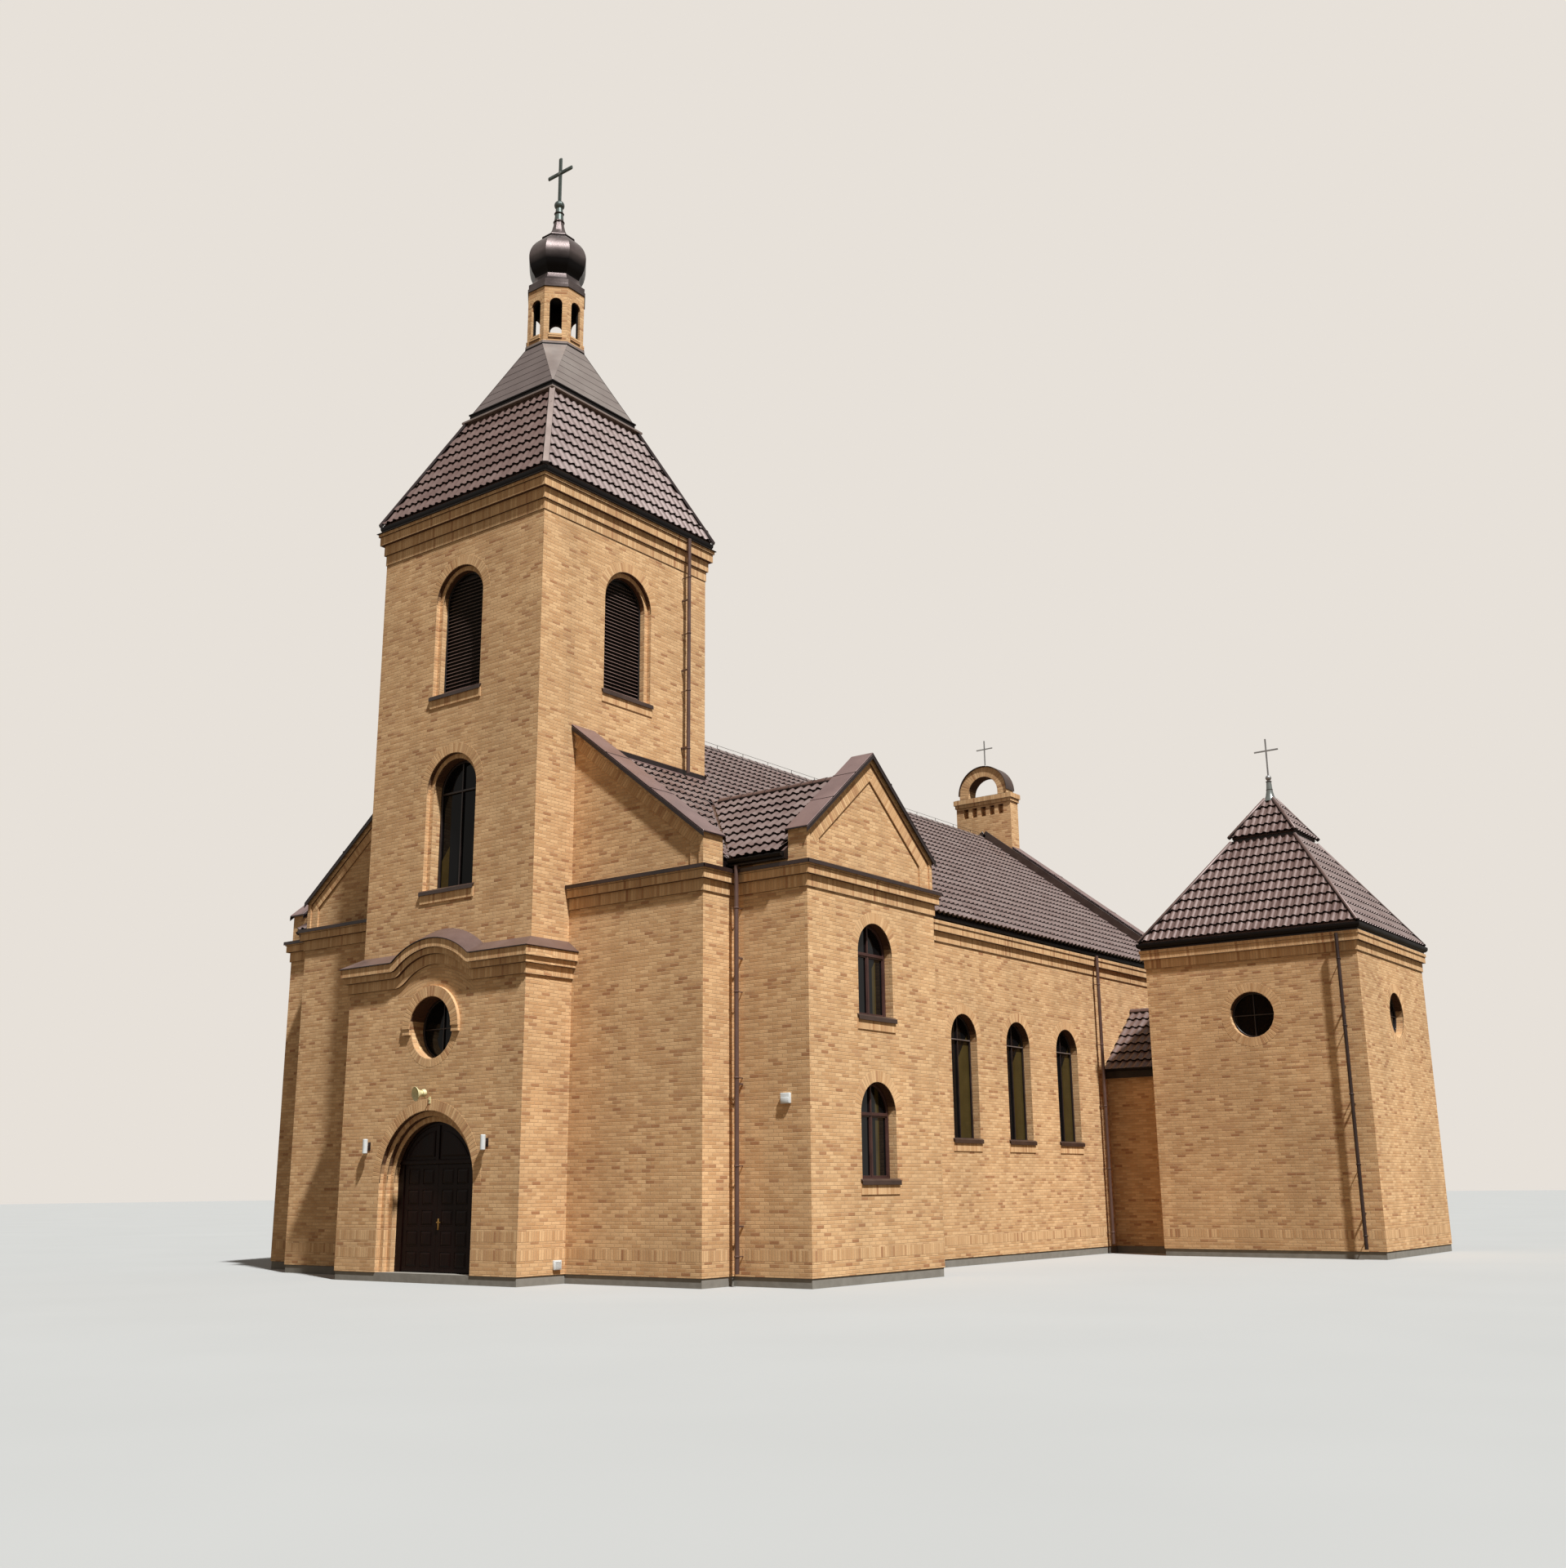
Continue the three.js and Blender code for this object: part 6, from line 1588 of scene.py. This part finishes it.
# %% Boxes on the walls
alarm = block((8.235, 2.205 - 0.075, 3.67), (8.475, 2.208, 3.89), 0.014, 3)
alarm_lid = block((8.25, 2.205 - 0.083, 3.685), (8.46, 2.205 - 0.07, 3.80), 0.006, 2)
vent = block((3.037, 0.80, 0.30), (3.10, 1.02, 0.50), 0.010, 2)
vent_slits = row_of(block((3.098, 0.825, 0.325), (3.108, 0.995, 0.335), 0.002), 8, (0, 0, 0.02))
boxes = put(join([alarm, alarm_lid, vent, vent_slits]), "wall_boxes", white_plastic, smooth=40)
print("boxes:", triangles(boxes), "triangles")

# %% [markdown]
# ## Pipes, wire and flashing
# Rain pipes are held off the wall by bands. A lightning wire runs over the nave ridge on small posts, and
# folded strips of sheet close the joints where roofs meet walls.

# %% Pipe bands
def pipe_band(x, y, z, arm):
    ring = rod((x, y, z - 0.022), (x, y, z + 0.022), 0.062, 16, (0, 1, 0))
    reach = bar((x, y, z), (x + arm[0], y + arm[1], z), 0.024, 0.02, edge=0.003)
    return join([ring, reach])


def pipe_bands(x, y, low, high, arm, count):
    gap = (high - low) / (count - 1)
    return join([pipe_band(x, y, low + gap * number, arm) for number in range(count)])


valley_bands = both_sides(pipe_bands(7.18, 2.005, 0.6, 7.9, (0, 0.2), 5))
nave_bands = both_sides(pipe_bands(7.13, 19.75, 0.6, 7.9, (-0.2, 0), 5))
bands = join([pipe_bands(3.15, 5.07, 12.9, 17.6, (-0.24, 0), 4), valley_bands, nave_bands])
put(bands, "pipe_bands", pipe_metal, smooth=40)
put(pipe_bands(14.76, 18.81, 0.6, 7.9, (0, 0.2), 5), "side_pipe_bands", dark_pipe, smooth=40)
print("pipe bands:", triangles(bands), "triangles")

# %% Lightning wire on the ridge
WIRE_Z = RIDGE + 0.24
posts = row_of(rod((0, 6.4, RIDGE + 0.09), (0, 6.4, WIRE_Z), 0.009, 6), 16, (0, 1.22, 0))
wire = rod((0, 6.05, WIRE_Z), (0, 25.7, WIRE_Z), 0.006, 6)
put(join([posts, wire]), "lightning_wire", dark_paint)
print("wire at", round(WIRE_Z, 2), "m")

# %% Flashing where the roofs meet the walls
side_z = RIDGE - PITCH * 2.91
apron = block((2.906, 1.85, side_z + 0.04), (2.93, 6.02, side_z + 0.24), 0.004)
SLOPE_UP = (PITCH, 0, 1)
apron_foot = bar((2.95, 1.85, side_z + 0.09), (2.95, 6.1, side_z + 0.09), 0.14, 0.012, SLOPE_UP, 0.003)
back_rise = bar((0.0, 6.022, RIDGE + 0.06), (2.93, 6.022, side_z + 0.16), 0.024, 0.2, SLOPE_UP, 0.004)
back_foot = bar((0.0, 6.08, RIDGE + 0.10), (2.95, 6.08, side_z + 0.10), 0.14, 0.012, SLOPE_UP, 0.003)
gable_foot, end_foot = [bar((start, y, RIDGE - PITCH * start + 0.10), (7.0, y, RIDGE - PITCH * 7.0 + 0.10),
                            0.12, 0.012, SLOPE_UP, 0.003) for start, y in ((3.0, 1.90), (0.1, 25.70))]
flashing = both_sides(join([apron, apron_foot, back_rise, back_foot, gable_foot, end_foot]))
put(flashing, "wall_flashing", cap_metal)
end_rise = bar((0.0, 25.705, RIDGE + 0.27), (7.0, 25.705, RIDGE + 0.27 - PITCH * 7.0), 0.022, 0.25,
               SLOPE_UP, 0.004)
put(both_sides(end_rise), "end_wall_sheet", sill_metal)
print("flashing:", triangles(flashing), "triangles")

# %% [markdown]
# ## Dome, finials and crosses
# The onion dome of the model is eight-sided and plain. Its sheets are bent softly from course to course
# and end in a small brim under the neck, so the same outline is spun once more in eight steps with more
# points, which lets the sun run over it as a soft band. It stands for the dome of the model.

# %% Onion dome
dome_line = [(0.001, 25.953), (0.785, 25.953), (0.785, 26.05), (0.765, 26.07), (0.765, 26.19), (0.70, 26.235),
             (0.64, 26.33), (0.60, 26.47), (0.625, 26.55), (0.69, 26.65), (0.735, 26.77), (0.765, 26.91),
             (0.782, 27.04), (0.785, 27.14), (0.772, 27.24), (0.738, 27.36), (0.69, 27.47), (0.61, 27.59),
             (0.51, 27.70), (0.425, 27.785), (0.452, 27.80), (0.448, 27.825), (0.33, 27.885), (0.235, 27.99),
             (0.185, 28.13), (0.15, 28.28), (0.125, 28.48), (0.001, 28.48)]
dome = lathe([(reach / math.cos(math.pi / 8), z) for reach, z in dome_line], 8)
put(turned(dome, 22.5, *TOWER_MIDDLE), "dome_sheets", dome_metal, smooth=33)
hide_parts("onion_dome")
print("dome:", triangles(dome), "triangles")

# %% [markdown]
# The neck under the ball of the great cross carries two rings. The cross itself is made of paired rails
# with a small ring where they meet. On the side tower a flared skirt with two dark rings covers the point
# of the roof.

# %% Rings, rails and the skirt of the side tower
def ring_at(x, y, z, radius, tall, sides=24):
    ring = rod((x, y, z - tall / 2), (x, y, z + tall / 2), radius, sides, (0, 1, 0))
    edit(ring, "EDGE")
    pick(lambda e: len(e.link_faces) == 2 and max(len(f.verts) for f in e.link_faces) > 8)
    soften(tall * 0.2, 2)
    done()
    return ring


finial_rings = [ring_at(0, 3.005, 28.71, 0.14, 0.05), ring_at(0, 3.005, 28.43, 0.16, 0.05)]
put(join(finial_rings), "finial_rings", dark_pipe, smooth=40)
ARM_Z, RAIL_HALF = 30.045, 0.014
rails = []
for shift in (-0.04, 0.04):
    rails.append(block((shift - RAIL_HALF, 2.985, 29.11), (shift + RAIL_HALF, 3.025, 30.52), 0.003))
    rails.append(block((-0.465, 2.985, ARM_Z + shift - RAIL_HALF),
                       (0.465, 3.025, ARM_Z + shift + RAIL_HALF), 0.003))
put(join(rails), "cross_rails", dark_cross)
put(rod((0, 2.96, ARM_Z), (0, 3.05, ARM_Z), 0.062, 20, (0, 0, 1)), "cross_boss", ball_metal, smooth=40)
skirt = lathe([(0.001, 13.33), (0.215, 13.33), (0.19, 13.38), (0.13, 13.50), (0.095, 13.68), (0.075, 13.95),
               (0.001, 13.95)], 20)
put(turned(skirt, 0, *SIDE_MIDDLE), "side_skirt", ball_metal, smooth=40)
side_rings = [ring_at(*SIDE_MIDDLE, z, radius, 0.035, 16) for z, radius in ((13.96, 0.095), (13.70, 0.105))]
put(join(side_rings), "side_rings", dark_pipe, smooth=40)
print("rings on both finials")

# %% [markdown]
# ## The lantern
# Under each of the eight openings lies a sill of two courses that stands a little proud, and over it an
# arch of bricks on end. A light strip of sheet closes the joint with the roof below. One side is dressed
# and turned round the tower in steps of 45 degrees.

# %% Sills, arches and foot of the lantern
turns = [(45 * number, *TOWER_MIDDLE) for number in range(8)]
lantern_sill = join([block((-0.185, -0.79, 24.385), (0.185, -0.70, 24.445), 0.004),
                     block((-0.185, -0.79, 24.452), (0.185, -0.62, 24.51), 0.004)])
ring, bed = brick_arch(0.17, 0.105, (0, 25.43), face=-0.76)
put(on_walls(join([lantern_sill, ring]), turns), "lantern_bricks", loose_brick)
put(on_walls(bed, turns), "lantern_mortar", mortar)
half_side = 0.80 * EIGHTH
foot_plate = block((-half_side, -0.80, 24.205), (half_side, -0.76, 24.275), 0.003)
put(on_walls(foot_plate, turns), "lantern_flashing", edge_metal)
# painted shadow: a black band under the light strip, where the lantern's foot overhangs the roof
foot_shadow_band = block((-half_side, -0.805, 24.165), (half_side, -0.75, 24.203), 0.002)
put(on_walls(foot_shadow_band, turns), "lantern_foot_shadow", gutter_metal)
print("eight sides of the lantern dressed")

# %% [markdown]
# The bell-cote on the far gable has a drip sheet on its cornice, and a curved hood of thin sheet over its
# arch.

# %% Sheets of the bell-cote
cote_drip = [block((-1.19, 25.68, 16.075), (1.19, 26.32, 16.10), 0.006),
             block((-1.19, 25.68, 16.03), (1.19, 25.692, 16.08), 0.002),
             block((-1.19, 26.308, 16.03), (1.19, 26.32, 16.08), 0.002)]
put(join(cote_drip), "bell_cote_drip", gutter_metal)
hood = drawn([(x, 25.69, z) for x, z in arc_outline(1.003, 1.028, (0, 16.25), 0, 180, 36)], (0, 0.62, 0))
put(hood, "bell_cote_hood", sill_metal, smooth=40)
print("hood:", triangles(hood), "triangles")

# %% [markdown]
# ## Floor and light
# The set is a plain pale floor. The picture shows clear sun from the right and above, which grazes the
# front and leaves long shadows under the cornices, so one broad sun does that work and a pale sky fills
# the shade.

# %% Make the floor, the sun and the sky
SKY_LIGHT, SKY_SEEN, SKY_MIRRORED = 0.215, 0.8, 0.5
let_go()
bpy.ops.mesh.primitive_plane_add(size=600, location=(0, 0, 0))
floor = bpy.context.object
floor.name = "stage_floor"
floor_finish, tree, sockets = finish_base("stage_floor", 0.9, specular=0.1)
seen = tree.nodes.new("ShaderNodeLightPath").outputs["Is Camera Ray"]
pale = between(tree, noise(tree, 0.2, 3.0), linear(166, 165, 162), linear(172, 171, 168), colour=True)
tree.links.new(between(tree, seen, linear(108, 97, 82), pale, colour=True), sockets["Base Color"])
floor.data.materials.append(floor_finish)

sun_data = bpy.data.lights.new("sun", "SUN")
sun_data.energy = 6.0
sun_data.angle = math.radians(2.5)
sun_data.color = (0.95, 0.98, 1.0)
sun = bpy.data.objects.new("sun", sun_data)
bpy.context.scene.collection.objects.link(sun)
sun.rotation_euler = Vector((0.484, -0.208, 0.850)).to_track_quat("Z", "Y").to_euler()
world = bpy.data.worlds.new("sky")
bpy.context.scene.world = world
world.use_nodes = True
sky_tree = world.node_tree
rays = sky_tree.nodes.new("ShaderNodeLightPath").outputs
sky = sky_tree.nodes["Background"]
sky.inputs["Color"].default_value = (1.0, 0.94, 0.87, 1.0)
mirrored = between(sky_tree, rays["Is Glossy Ray"], SKY_LIGHT, SKY_MIRRORED)
sky_tree.links.new(between(sky_tree, rays["Is Camera Ray"], mirrored, SKY_SEEN), sky.inputs["Strength"])
bpy.context.scene.view_settings.view_transform = "Standard"
print("sun energy", sun_data.energy, "sky", SKY_LIGHT)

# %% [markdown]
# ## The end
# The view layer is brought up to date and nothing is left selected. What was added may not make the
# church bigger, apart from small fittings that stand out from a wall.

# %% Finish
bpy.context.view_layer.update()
let_go()
